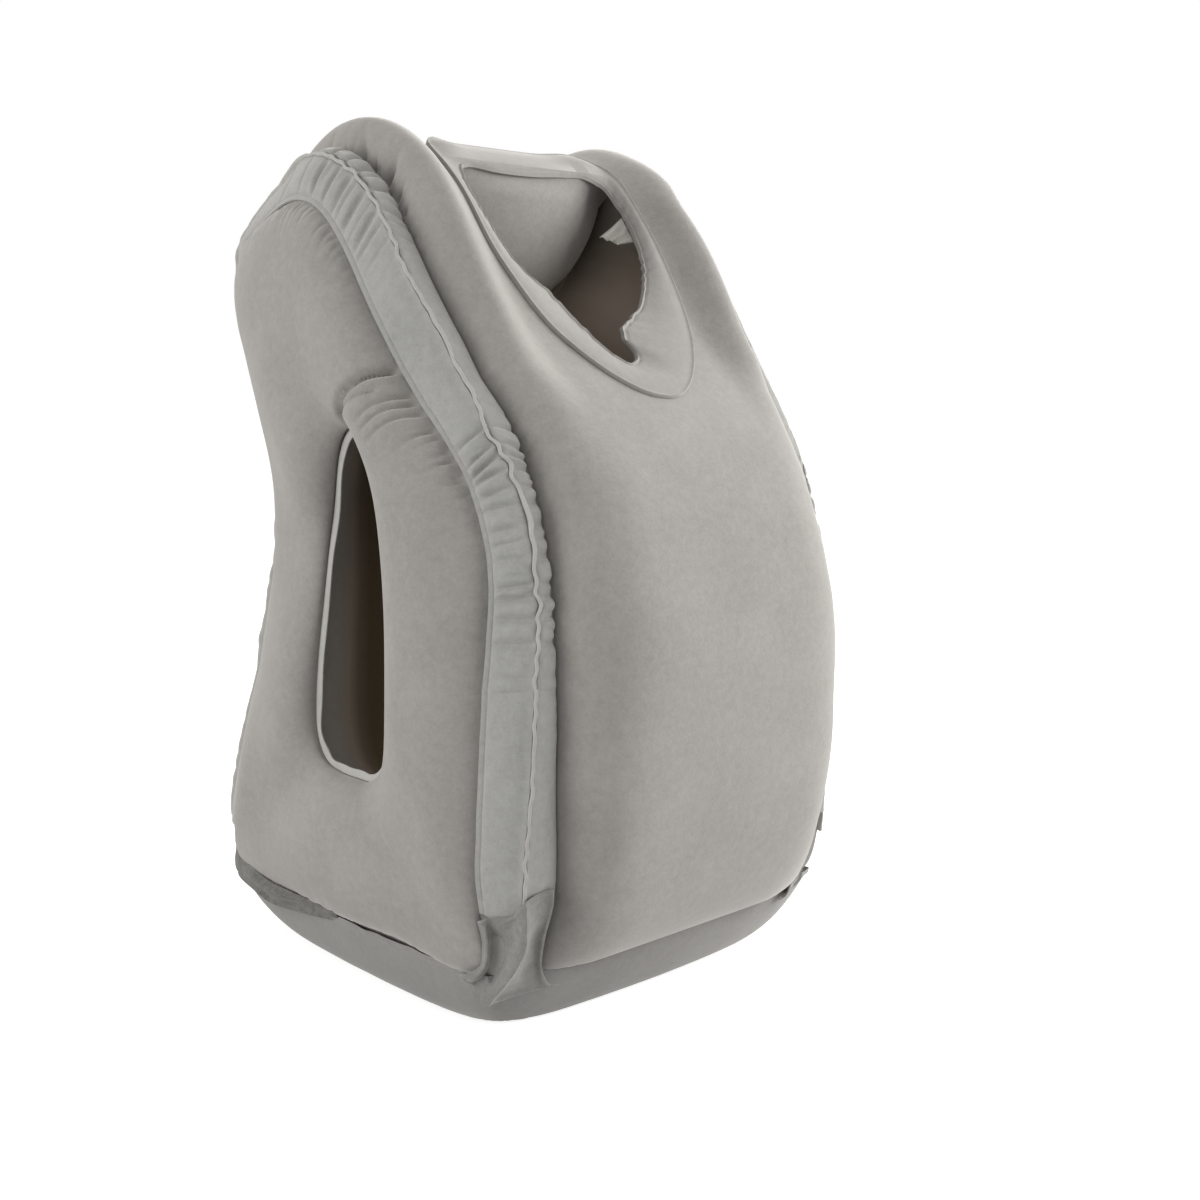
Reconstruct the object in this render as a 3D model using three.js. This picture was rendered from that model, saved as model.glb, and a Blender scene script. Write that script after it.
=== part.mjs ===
// Inflatable travel pillow: an upright flocked air chamber with an arm tunnel from side to side, a
// sloping face opening in its top, ruched side gussets, a flat face collar and a domed base panel.
// Millimetres, +Z up, the front (belly) faces -Y, x = 0 is the plane of symmetry, and the base
// panel rests on z = 0.
import * as THREE from 'three';

// Driving dimensions
const SEAM_Z = 41;            // height of the seam between the chamber and the base panel
const RIM_X = 151;            // where the arm tunnel's mouth lies, out from the middle
const GAP = 0.3;              // air left between pieces that touch
const CLOTH = 1.8;            // thickness of a welded strip of flocked film
const WELD = 1.5;             // thickness of a pressed weld edge

// The gusset is a chamfer between the front wrap and the side panel
const GUSSET_OUT = 15;        // its rear edge stands this far outside the standing seam
const GUSSET_IN = 28;         // and this far nearer the tunnel
const GROOVE_OUT = 15;        // its front edge lies this far inside the standing seam
const GROOVE_IN = 2;          // and this far nearer the tunnel
const STANDING_SEAM = 3;      // height of the standing seam
const SEAM_ROOM = 1.1;        // half the room that the standing seam takes between the strips

// Sections of the chamber, in order round its loop: up the front, over the crown, down the back,
// along the base. A row gives the standing seam (x y z), the width share of the gusset, how far the
// wrap stands out from the seam at its middle and at the flank, how far the side panel bulges, the
// tunnel's mouth (y z) and the tunnel's wall at the middle (y z).
const COLUMNS = ['seamX', 'seamY', 'seamZ', 'gusset', 'middle', 'flank', 'bulge',
  'rimY', 'rimZ', 'coreY', 'coreZ'];
const SECTIONS = {
  frontCorner:  [140.5, -129.0,  45.0, 0.20, 14, 12, 14, -28, 141, -50, 122],
  bellyLow:     [134.0, -151.0, 105.0, 1.00, 31, 31, 17, -45, 160, -62, 150],
  bellyMiddle:  [128.5, -153.5, 184.0, 1.00, 39, 38, 19, -51, 202, -66, 200],
  bellyHigh:    [121.5, -148.0, 260.0, 1.00, 39, 36, 19, -51, 258, -66, 258],
  chest:        [123.3, -126.3, 331.0, 1.00, 31, 30, 18, -44, 310, -60, 312],
  collarLow:    [127.0,  -89.0, 387.0, 1.00, 16, 29, 20, -34, 340, -48, 352],
  collarMiddle: [131.5,  -53.0, 437.0, 1.00, 12, 34, 21, -23, 353, -25, 385],
  hornFront:    [129.5,  -18.0, 480.0, 1.00, 15, 38, 22, -13, 354,  10, 400],
  crownFront:   [127.0,   28.0, 513.0, 1.00, 18, 37, 22,  -4, 348,  40, 395],
  crownBack:    [126.0,   88.0, 512.0, 1.00, 17, 32, 25,   4, 332,  54, 365],
  shoulder:     [125.0,  140.0, 463.0, 1.00, 22, 23, 25,   9, 306,  58, 325],
  backHigh:     [122.0,  138.0, 388.0, 1.00, 24, 22, 17,  16, 280,  54, 290],
  waist:        [118.0,  119.0, 315.0, 1.00, 28, 22, 13,  23, 250,  50, 250],
  backMiddle:   [126.0,  130.0, 236.0, 1.00, 26, 20, 15,  31, 215,  48, 215],
  backLow:      [134.0,  149.0, 160.0, 1.00, 20, 16, 18,  36, 182,  48, 182],
  backBase:     [139.0,  157.0,  98.0, 1.00, 16, 14, 17,  35, 158,  46, 155],
  backCorner:   [140.5,  150.0,  45.0, 0.20, 12, 10, 14,  25, 144,  38, 128],
  baseBack:     [145.0,   78.0,  42.0, 0.08,  6,  4, 17,  12, 140,  20, 120],
  baseMiddle:   [147.0,    8.0,  42.0, 0.08,  6,  4, 18,   0, 139,   0, 116],
  baseFront:    [144.0,  -62.0,  42.0, 0.08,  6,  4, 17, -14, 139, -22, 116],
};
const ROWS = Object.values(SECTIONS);
const ROW_COUNT = ROWS.length;
const STEPS_PER_ROW = 3;      // grid lines from one section to the next
const LOOP_LINES = ROW_COUNT * STEPS_PER_ROW;

// The face opening is cut between two places of the loop, counted in sections
const OPENING_LOW = 14 / 3;
const OPENING_REAR = 23 / 3;
const OPENING_HALF = 71;      // half width at its widest
const OPENING_BLUNT = 0.05;   // share of its length that the blunt lower end cuts off
const EGG_POWER = 2.7;        // how quickly it widens
const WRAP_POWER = 9;         // how square the wrap's flanks are
const HORN_FOOT = 0.6;        // the horns rise between these shares of the wrap's half width
const HORN_TOP = 0.92;
const OPENING_SHARE = 0.5;    // share of the wrap's half width that its edge follows
const THROAT_SHARE = 0.62;    // where the throat meets the tunnel's roof, from mouth to middle

// Lines across the chamber, as shares of each panel's width
const WRAP_LINES = [0, 0.17, 0.34, OPENING_SHARE, 0.56, 0.66, 0.77, 0.86, 0.94, 1];
const GUSSET_LINES = [0.33, 1];
const SIDE_LINES = [0.03, 0.1, 0.22, 0.38, 0.55, 0.72, 0.86, 0.95, 1];
const TUNNEL_LINES = [0.06, 0.18, 0.38, THROAT_SHARE, 0.75, 0.88, 1];
const THROAT_STEPS = 5;       // rings down the throat's wall
const THROAT_BULGE = 16;      // how far that wall bulges into the throat

// Periodic cubic spline through the rows: the second differences are relaxed to their solution
const bends = ROWS.map((row) => row.map(() => 0));
for (let pass = 0; pass < 60; pass += 1) {
  for (let i = 0; i < ROW_COUNT; i += 1) {
    const before = (i + ROW_COUNT - 1) % ROW_COUNT;
    const after = (i + 1) % ROW_COUNT;
    ROWS[i].forEach((value, c) => {
      const second = 6 * (ROWS[after][c] - 2 * value + ROWS[before][c]);
      bends[i][c] = (second - bends[before][c] - bends[after][c]) / 4;
    });
  }
}

function section(place) {
  const turn = ((place % ROW_COUNT) + ROW_COUNT) % ROW_COUNT;
  const i = Math.floor(turn) % ROW_COUNT;
  const j = (i + 1) % ROW_COUNT;
  const f = turn - Math.floor(turn);
  const g = 1 - f;
  const value = {};
  COLUMNS.forEach((name, c) => {
    value[name] = ROWS[i][c] * g + ROWS[j][c] * f
      + ((g ** 3 - g) * bends[i][c] + (f ** 3 - f) * bends[j][c]) / 6;
  });
  return value;
}

const vec = (x, y, z) => new THREE.Vector3(x, y, z);
const mix = (a, b, t) => a.clone().lerp(b, t);
const ease = (a, b, x) => THREE.MathUtils.smoothstep(x, a, b);

// The outward direction of the loop at a place, in the YZ plane
function outward(place) {
  const a = section(place - 0.002);
  const b = section(place + 0.002);
  return vec(0, -(b.seamZ - a.seamZ), b.seamY - a.seamY).normalize();
}

// The lines that bound the panels at a place of the loop, on the +X side
function edges(place) {
  const at = section(place);
  const out = outward(place);
  const seam = vec(at.seamX, at.seamY, at.seamZ);
  return {
    at,
    out,
    seam,
    groove: seam.clone().addScaledVector(out, -GROOVE_IN).add(vec(-GROOVE_OUT, 0, 0)),
    rear: seam.clone().addScaledVector(out, -GUSSET_IN * at.gusset)
      .add(vec(GUSSET_OUT * at.gusset, 0, 0)),
    rim: vec(RIM_X, at.rimY, at.rimZ),
    core: vec(0, at.coreY, at.coreZ),
  };
}

// The wrap (front, crown and back) at a distance x from the middle: it stands out from the groove
// with steep flanks, and its horns beside the face opening are higher than its middle
function wrapAt(place, x) {
  const { at, out, groove } = edges(place);
  const across = Math.abs(x) / groove.x;
  const height = (at.middle + (at.flank - at.middle) * ease(HORN_FOOT, HORN_TOP, across))
    * Math.sqrt(Math.max(0, 1 - across ** WRAP_POWER));
  const point = groove.clone().addScaledVector(out, height);
  return point.setX(x);
}

// Half width of the face opening: an egg that widens quickly from its rounded lower end
function openingHalf(place) {
  const t = THREE.MathUtils.clamp((place - OPENING_LOW) / (OPENING_REAR - OPENING_LOW), 0, 1);
  const along = OPENING_BLUNT + (1 - OPENING_BLUNT) * t;
  return OPENING_HALF * Math.sqrt(1 - (1 - along) ** EGG_POWER);
}

// The wrap as a share of its half width: the line at OPENING_SHARE follows the opening's edge
function wrap(place, share) {
  const { groove } = edges(place);
  const beside = ease(OPENING_LOW - 1.6, OPENING_LOW, place)
    * (1 - ease(OPENING_REAR, OPENING_REAR + 1.4, place));
  const line = THREE.MathUtils.lerp(groove.x * OPENING_SHARE, openingHalf(place), beside);
  const x = share <= OPENING_SHARE
    ? line * share / OPENING_SHARE
    : line + (groove.x - line) * (share - OPENING_SHARE) / (1 - OPENING_SHARE);
  return wrapAt(place, x);
}

// The chamfer under the gusset strips: groove, standing seam, rear edge
function gusset(place, share) {
  const { groove, seam, rear } = edges(place);
  const turn = GUSSET_LINES[0];
  return share <= turn
    ? mix(groove, seam, share / turn)
    : mix(seam, rear, (share - turn) / (1 - turn));
}

// The side panel: bulged between the gusset and the tunnel's mouth, rounding off the corners
const SOFTEN = [[-1.2, 0.1], [-0.6, 0.2], [0, 0.4], [0.6, 0.2], [1.2, 0.1]];
function side(place, share) {
  const { at, rear, rim } = edges(place);
  const soft = vec(0, 0, 0);
  SOFTEN.forEach(([shift, weight]) => soft.addScaledVector(edges(place + shift).rear, weight));
  const outer = mix(rear, soft, ease(0, 0.45, share));
  const point = mix(outer, rim, share);
  point.x += at.bulge * Math.max(0, 1 - Math.abs(2 * share - 1) ** 2.6) ** 0.6;
  return point;
}

// The arm tunnel's wall, from the mouth to the middle of the body
function tunnel(place, share) {
  const { rim, core } = edges(place);
  const swing = 1 - (1 - share) ** 2.5;
  return vec(
    THREE.MathUtils.lerp(rim.x, core.x, share),
    THREE.MathUtils.lerp(rim.y, core.y, swing),
    THREE.MathUtils.lerp(rim.z, core.z, swing),
  );
}

// Half the section of the chamber, from the middle of the wrap to the middle of the tunnel's wall
const HALF = [
  ...WRAP_LINES.map((share) => [wrap, share]),
  ...GUSSET_LINES.map((share) => [gusset, share]),
  ...SIDE_LINES.map((share) => [side, share]),
  ...TUNNEL_LINES.map((share) => [tunnel, share]),
];
const HALF_CELLS = HALF.length - 1;
const SECTION_LINES = 2 * HALF_CELLS;
const OPENING_CELLS = WRAP_LINES.indexOf(OPENING_SHARE);

function chamberPoint(lineU, lineV) {
  const mirrored = lineV > HALF_CELLS;
  const [panel, share] = HALF[mirrored ? SECTION_LINES - lineV : lineV];
  const point = panel(lineU / STEPS_PER_ROW, share);
  point.z = Math.max(point.z, SEAM_Z);
  if (mirrored) point.x = -point.x;
  return point;
}

// A closed mesh from numbered points and triangles, turned so that its faces point out
class Solid {
  constructor() {
    this.points = [];
    this.faces = [];
  }

  add(point) {
    this.points.push(point.clone());
    return this.points.length - 1;
  }

  quad(a, b, c, d) {
    this.faces.push([a, b, c], [a, c, d]);
  }

  // Joins rows of point numbers, each row closed on itself
  rings(rows, closed) {
    const last = closed ? rows.length : rows.length - 1;
    for (let i = 0; i < last; i += 1) {
      const row = rows[i];
      const next = rows[(i + 1) % rows.length];
      row.forEach((_, j) => {
        const k = (j + 1) % row.length;
        this.quad(row[j], next[j], next[k], row[k]);
      });
    }
  }

  mesh(name, finish) {
    const used = this.faces.filter(([a, b, c]) => a !== b && b !== c && a !== c);
    let volume = 0;
    used.forEach(([a, b, c]) => {
      const cross = this.points[b].clone().cross(this.points[c]);
      volume += this.points[a].dot(cross);
    });
    const index = used.flatMap(([a, b, c]) => (volume < 0 ? [a, c, b] : [a, b, c]));
    const kept = [...new Set(index)];
    const number = new Map(kept.map((old, i) => [old, i]));
    const geometry = new THREE.BufferGeometry();
    const values = kept.flatMap((old) => this.points[old].toArray());
    geometry.setAttribute('position', new THREE.Float32BufferAttribute(values, 3));
    geometry.setIndex(index.map((old) => number.get(old)));
    geometry.computeVertexNormals();
    const mesh = new THREE.Mesh(geometry, finish);
    mesh.name = name;
    return mesh;
  }
}

// A thin sheet from rows of points: each row gives the points of its lower face, and the
// directions in which its upper face lies. It starts and ends with a cut edge, or closes on itself.
function sheet(name, finish, rows, thickness, closed = false) {
  const solid = new Solid();
  const numbers = rows.map((row) => {
    const lower = row.map(([point]) => solid.add(point));
    const upper = row.map(([point, way]) => solid.add(point.clone().addScaledVector(way, thickness)));
    return [...lower, ...upper.reverse()];
  });
  solid.rings(numbers, closed);
  if (!closed) {
    const width = numbers[0].length;
    const first = numbers[0];
    const last = numbers[numbers.length - 1];
    for (let i = 0; i < width / 2 - 1; i += 1) {
      const far = width - 1 - i;
      solid.quad(first[i], first[i + 1], first[far - 1], first[far]);
      solid.quad(last[i], last[far], last[far - 1], last[i + 1]);
    }
  }
  return solid.mesh(name, finish);
}

// The same rows on the other side of the body
const mirror = (rows) => rows.map((row) => row.map((pair) => pair.map((p) => vec(-p.x, p.y, p.z))));

// Finishes
const flocked = new THREE.MeshStandardMaterial({ color: '#a9a6a1', roughness: 0.92, metalness: 0 });
const gussetFilm = new THREE.MeshStandardMaterial({ color: '#a0a19d', roughness: 0.9, metalness: 0 });
const baseFilm = new THREE.MeshStandardMaterial({ color: '#8b8a87', roughness: 0.92, metalness: 0 });
const paleFilm = new THREE.MeshStandardMaterial({ color: '#dcdad5', roughness: 0.6, metalness: 0 });

const pillow = new THREE.Group();

// A piece for each side: the rows are those of the +X side, which is the wearer's left
function pair(name, finish, rows, thickness, closed = false) {
  pillow.add(sheet(`${name}_left`, finish, rows, thickness, closed));
  pillow.add(sheet(`${name}_right`, finish, mirror(rows), thickness, closed));
}

// Air chamber
function airChamber() {
  const solid = new Solid();
  const lowLine = Math.round(OPENING_LOW * STEPS_PER_ROW);
  const rearLine = Math.round(OPENING_REAR * STEPS_PER_ROW);
  const wrapLine = (v) => (v + SECTION_LINES) % SECTION_LINES;
  const number = [];
  for (let u = 0; u < LOOP_LINES; u += 1) {
    number.push([]);
    for (let v = 0; v < SECTION_LINES; v += 1) number[u].push(solid.add(chamberPoint(u, v)));
  }
  const beside = (u) => u >= lowLine && u < rearLine;
  const near = (v, middle) => {
    const away = Math.abs(v + 0.5 - middle);
    return Math.min(away, SECTION_LINES - away) < OPENING_CELLS;
  };
  for (let u = 0; u < LOOP_LINES; u += 1) {
    const next = (u + 1) % LOOP_LINES;
    for (let v = 0; v < SECTION_LINES; v += 1) {
      const open = beside(u) && (near(v, 0) || near(v, HALF_CELLS));
      const k = wrapLine(v + 1);
      if (!open) solid.quad(number[u][v], number[next][v], number[next][k], number[u][k]);
    }
  }
  // The edge of the hole in the wrap, and of the one in the tunnel's roof, in step
  const edge = [];
  for (let u = lowLine; u < rearLine; u += 1) edge.push([u, OPENING_CELLS]);
  for (let v = OPENING_CELLS; v > -OPENING_CELLS; v -= 1) edge.push([rearLine, v]);
  for (let u = rearLine; u > lowLine; u -= 1) edge.push([u, -OPENING_CELLS]);
  for (let v = -OPENING_CELLS; v < OPENING_CELLS; v += 1) edge.push([lowLine, v]);
  const outer = edge.map(([u, v]) => number[u][wrapLine(v)]);
  const inner = edge.map(([u, v]) => number[u][wrapLine(HALF_CELLS - v)]);
  const middle = vec(0, 0, 0);
  [...outer, ...inner].forEach((n) => middle.addScaledVector(solid.points[n], 0.5 / edge.length));
  const rows = [outer];
  for (let step = 1; step < THROAT_STEPS; step += 1) {
    const depth = step / THROAT_STEPS;
    rows.push(edge.map((_, i) => {
      const point = mix(solid.points[outer[i]], solid.points[inner[i]], depth);
      const centre = mix(solid.points[outer[i]], solid.points[inner[i]], 0.5);
      const inwards = middle.clone().sub(centre).normalize();
      return solid.add(point.addScaledVector(inwards, THROAT_BULGE * Math.sin(Math.PI * depth)));
    }));
  }
  rows.push(inner);
  solid.rings(rows, false);
  return solid.mesh('air_chamber', flocked);
}
pillow.add(airChamber());

// Base panel: a crowned panel whose depth falls to nothing at its four seams, flat underneath
const BASE = {
  halfWidth: 142, sideBow: 9, front: -127, back: 156, frontBow: 14, backBow: 8,
  depth: 52, edge: 6, fullness: 0.7, lines: 14,
};
function basePanel() {
  const solid = new Solid();
  const top = SEAM_Z - GAP;
  const steps = [];
  for (let i = 0; i <= BASE.lines; i += 1) {
    steps.push(Math.sin((i / BASE.lines - 0.5) * Math.PI));
  }
  const place = (s, t) => {
    const bow = t < 0 ? -BASE.frontBow : BASE.backBow;
    return vec(
      s * (BASE.halfWidth + BASE.sideBow * (1 - t * t)),
      (BASE.front + BASE.back) / 2 + t * (BASE.back - BASE.front) / 2 + bow * (1 - s * s) * t * t,
      top,
    );
  };
  const onEdge = (i, j) => i === 0 || j === 0 || i === BASE.lines || j === BASE.lines;
  const upper = steps.map((s) => steps.map((t) => solid.add(place(s, t))));
  const lower = steps.map((s, i) => steps.map((t, j) => {
    if (onEdge(i, j)) return upper[i][j];
    const full = ((1 - Math.abs(s) ** BASE.edge) * (1 - Math.abs(t) ** BASE.edge)) ** BASE.fullness;
    return solid.add(place(s, t).setZ(Math.max(0, top - BASE.depth * full)));
  }));
  for (let i = 0; i < BASE.lines; i += 1) {
    for (let j = 0; j < BASE.lines; j += 1) {
      solid.quad(upper[i][j], upper[i + 1][j], upper[i + 1][j + 1], upper[i][j + 1]);
      solid.quad(lower[i][j], lower[i][j + 1], lower[i + 1][j + 1], lower[i + 1][j]);
    }
  }
  return solid.mesh('base_panel', baseFilm);
}
pillow.add(basePanel());

// Directions square to the chamfer's rear part, to its front part, and midway between them
const chamfer = (out, across, along) => vec(along, 0, 0).addScaledVector(out, across).normalize();
const rearWay = (out) => chamfer(out, GUSSET_OUT, GUSSET_IN);
const frontWay = (out) => chamfer(out, GROOVE_OUT, -GROOVE_IN);
const seamWay = (out) => rearWay(out).add(frontWay(out)).normalize();

// Gusset strips, over the chamfer from the front bottom corner to the back one
const places = [];
const FIRST_LINE = 2;
const LAST_LINE = 16 * STEPS_PER_ROW - FIRST_LINE;
for (let line = FIRST_LINE; line <= LAST_LINE; line += 1) places.push(line / STEPS_PER_ROW);
const REAR_ROOM = 1;          // the strips stop this far short of the side panel
const GROOVE_ROOM = 1.6;      // and this far short of the wrap

function short(from, to, room) {
  return from.clone().add(to.clone().sub(from).setLength(room));
}

pair('gusset_rear_strip', gussetFilm, places.map((place) => {
  const { out, seam, rear } = edges(place);
  const way = rearWay(out);
  return [short(seam, rear, SEAM_ROOM), short(rear, seam, REAR_ROOM)]
    .map((point) => [point.addScaledVector(way, GAP), way]);
}), CLOTH);

pair('gusset_front_strip', gussetFilm, places.map((place) => {
  const { out, seam, groove } = edges(place);
  const way = frontWay(out);
  return [short(groove, seam, GROOVE_ROOM), short(seam, groove, SEAM_ROOM)]
    .map((point) => [point.addScaledVector(way, GAP), way]);
}), CLOTH);

// Standing seam, where the two strips are welded edge to edge
pair('gusset_standing_seam', gussetFilm, places.map((place) => {
  const { out, seam } = edges(place);
  const up = seamWay(out);
  const across = vec(-1, 0, 0).addScaledVector(up, up.x).normalize();
  const foot = seam.clone().addScaledVector(up, GAP).addScaledVector(across, -WELD / 2);
  return [[foot, across], [foot.clone().addScaledVector(up, STANDING_SEAM), across]];
}), WELD);

// Arm opening lips: the pressed weld inside the mouth of the arm tunnel
const LIP = { depth: 2, width: 4.5, room: 0 };
const loop = [...Array(LOOP_LINES).keys()].map((line) => line / STEPS_PER_ROW);
pair('arm_opening_lip', gussetFilm, loop.map((place) => {
  const { rim } = edges(place);
  const run = edges(place + 0.05).rim.sub(edges(place - 0.05).rim);
  const inwards = vec(0, run.z, -run.y).normalize();
  const foot = rim.clone().add(vec(-LIP.depth - WELD, 0, 0)).addScaledVector(inwards, LIP.room);
  const way = vec(1, 0, 0);
  return [[foot, way], [foot.clone().addScaledVector(inwards, LIP.width), way]];
}), WELD, true);

// Face collar: a flat flange on the opening's edge, with a keyhole notch at its lower end.
// Millimetres up the slope and across, for its outer and its inner edge, from the lower end round
// by +X to the rear and back by -X.
const COLLAR = {
  lowMiddle:   { outer: [0, 0],     inner: [30, -6] },
  lowLeft:     { outer: [2, 14],    inner: [35, 3] },
  notchFoot:   { outer: [8, 27],    inner: [42, 5] },
  notchNeck:   { outer: [18, 40],   inner: [50, 4] },
  notchNub:    { outer: [32, 50],   inner: [58, 6] },
  leftLow:     { outer: [50, 60],   inner: [67, 18] },
  leftMiddle:  { outer: [78, 69],   inner: [80, 38] },
  leftWide:    { outer: [118, 76],  inner: [112, 55] },
  leftHigh:    { outer: [160, 76],  inner: [155, 62] },
  leftRear:    { outer: [197, 75],  inner: [180, 60] },
  rearLeft:    { outer: [217, 62],  inner: [186, 48] },
  rearInner:   { outer: [221, 34],  inner: [186, 26] },
  rearMiddle:  { outer: [221, 0],   inner: [185, 0] },
};
const NOTCH_RIGHT = {         // the inner edge on the -X side, which has no nub
  lowLeft: [33, -9], notchFoot: [40, -15], notchNeck: [50, -20], notchNub: [60, -25],
  leftLow: [70, -30], leftMiddle: [83, -37], leftWide: [110, -54],
};
const SLOPE_FOOT = 4.46;      // the slope starts at this place of the loop
const SLOPE_STEP = 59.6;      // and climbs this far from one section to the next
const COLLAR_DROP = 5;        // how far its inner edge hangs below the weld
const EDGE_ROOM = 1.1;        // air between the collar and the opening's edge
const COLLAR_PARTS = 3;       // rows of the collar from one place in the table to the next
const EDGE_SHARE = 0.2;       // where the opening's edge lies, from the weld to the free edge
const onSlope = (along) => SLOPE_FOOT + along / SLOPE_STEP;

function collarRows() {
  const names = Object.keys(COLLAR);
  const right = names.slice(1, -1).reverse().map((name) => {
    const { outer, inner } = COLLAR[name];
    return { outer: [outer[0], -outer[1]], inner: NOTCH_RIGHT[name] ?? [inner[0], -inner[1]] };
  });
  const all = [...names.map((name) => COLLAR[name]), ...right];
  const line = (key) => new THREE.CatmullRomCurve3(
    all.map((row) => vec(row[key][0], row[key][1], 0)), true, 'catmullrom', 0.5);
  const outerLine = line('outer');
  const innerLine = line('inner');
  const count = all.length * COLLAR_PARTS;
  return [...Array(count).keys()].map((i) => {
    const weldAt = outerLine.getPoint(i / count);
    const freeAt = innerLine.getPoint(i / count);
    const edgeAt = mix(weldAt, freeAt, EDGE_SHARE);
    const edgePlace = THREE.MathUtils.clamp(onSlope(edgeAt.x), OPENING_LOW, OPENING_REAR);
    const half = openingHalf(edgePlace);
    const weld = wrapAt(onSlope(weldAt.x), weldAt.y);
    const edge = wrapAt(edgePlace, THREE.MathUtils.clamp(edgeAt.y, -half, half));
    const seat = wrapAt((onSlope(weldAt.x) + edgePlace) / 2, (weldAt.y + edge.x) / 2);
    const free = wrapAt(onSlope(freeAt.x), 0).setX(freeAt.y);
    const { out } = edges(onSlope(weldAt.x));
    [weld, seat, edge].forEach((point) => point.addScaledVector(out, EDGE_ROOM));
    free.addScaledVector(out, -COLLAR_DROP);
    return [weld, seat, edge, free].map((point) => [point, out]);
  });
}
pillow.add(sheet('face_collar', flocked, collarRows(), CLOTH, true));

// Corner ears: the gusset's welded ends, folded down past the base seam to a point
const EAR_TIPS = {
  front: { end: FIRST_LINE / STEPS_PER_ROW, past: -1, y: [-125, -132.5, -141] },
  back:  { end: LAST_LINE / STEPS_PER_ROW, past: 1, y: [151, 160, 167] },
};
const EAR_X = [144, 142, 130];
const EAR_Z = [33, 28, 35];
const EAR_GAP = 0.006;        // share of a section left between a strip and its ear
const EAR_ROWS = 5;
const EAR_ROOM = 6;           // an ear is this much narrower than its strip
const EAR_BOW = 3;            // how far it bows out between its top and its tip
Object.entries(EAR_TIPS).forEach(([where, { end, past, y }]) => {
  const start = end + past * EAR_GAP;
  const { out, seam, rear, groove } = edges(start);
  const ways = [rearWay(out), seamWay(out), frontWay(out)];
  const tops = [short(rear, seam, EAR_ROOM), seam, short(groove, seam, GROOVE_ROOM)];
  const rows = [...Array(EAR_ROWS).keys()].map((i) => tops.map((top, c) => {
    const tip = vec(EAR_X[c], y[c], EAR_Z[c]);
    const share = i / (EAR_ROWS - 1);
    const rise = GAP * (1 - share) + EAR_BOW * Math.sin(Math.PI * share);
    return [mix(top, tip, share).addScaledVector(ways[c], rise), ways[c]];
  }));
  pair(`corner_ear_${where}`, gussetFilm, rows, CLOTH);
});

// Inner tab: a short crumpled strip of pale film that hangs below the collar's arm on the +X side.
// Distance from the middle and height over the wrap's middle line, from the weld to the free end.
const TAB = { low: 141, high: 163, reach: [[66, -6.1], [61, -8.3], [54, -12.5], [46, -21]] };
const TAB_FILM = 1.2;
pillow.add(sheet('inner_tab', paleFilm, TAB.reach.map(([x, height]) => [TAB.low, TAB.high]
  .map((along) => {
    const { out } = edges(onSlope(along));
    return [wrapAt(onSlope(along), 0).setX(x).addScaledVector(out, height), out];
  })), TAB_FILM));

export default pillow;
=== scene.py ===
"""An inflatable travel pillow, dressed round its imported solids: flocked film, gathered gussets,
a welded face collar and folded corners. Surfaces are worked out in millimetres and made in metres."""

import math

import bpy
import numpy as np
from mathutils import Matrix, Vector


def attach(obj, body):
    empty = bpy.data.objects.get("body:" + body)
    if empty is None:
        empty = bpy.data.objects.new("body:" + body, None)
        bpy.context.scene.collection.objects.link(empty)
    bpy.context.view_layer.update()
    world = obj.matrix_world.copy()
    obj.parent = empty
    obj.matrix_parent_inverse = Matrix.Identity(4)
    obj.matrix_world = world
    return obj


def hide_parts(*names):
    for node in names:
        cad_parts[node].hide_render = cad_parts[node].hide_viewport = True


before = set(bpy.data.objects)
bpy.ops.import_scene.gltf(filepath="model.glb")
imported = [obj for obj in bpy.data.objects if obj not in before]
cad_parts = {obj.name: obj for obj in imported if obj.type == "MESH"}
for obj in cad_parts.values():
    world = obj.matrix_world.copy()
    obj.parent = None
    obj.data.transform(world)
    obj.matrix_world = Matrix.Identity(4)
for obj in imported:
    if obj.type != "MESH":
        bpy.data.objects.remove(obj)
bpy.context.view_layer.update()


# Air chamber: flocked film welded into an upright bag and blown up tight, so that its wrap and its
# sides bulge between the welds and pucker along them. It is one closed skin round an arm tunnel,
# with a throat that joins the tunnel to the face opening. The table is that of the solids.
MM = 0.001
SEAM_Z = 41.0  # height of the weld round the base
RIM_X = 151.0  # the tunnel's mouths, out from the middle
GUSSET_OUT, GUSSET_IN = 15.0, 28.0  # rear edge of the gusset, from the standing seam
GROOVE_OUT, GROOVE_IN = 15.0, 2.0  # and its front edge
GROOVE_FLARE = 9.0  # the gusset's front half widens this much towards the front corner
SECTION_COLUMNS = ("seam_x", "seam_y", "seam_z", "gusset", "middle", "flank", "bulge",
                   "rim_y", "rim_z", "core_y", "core_z")
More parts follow.
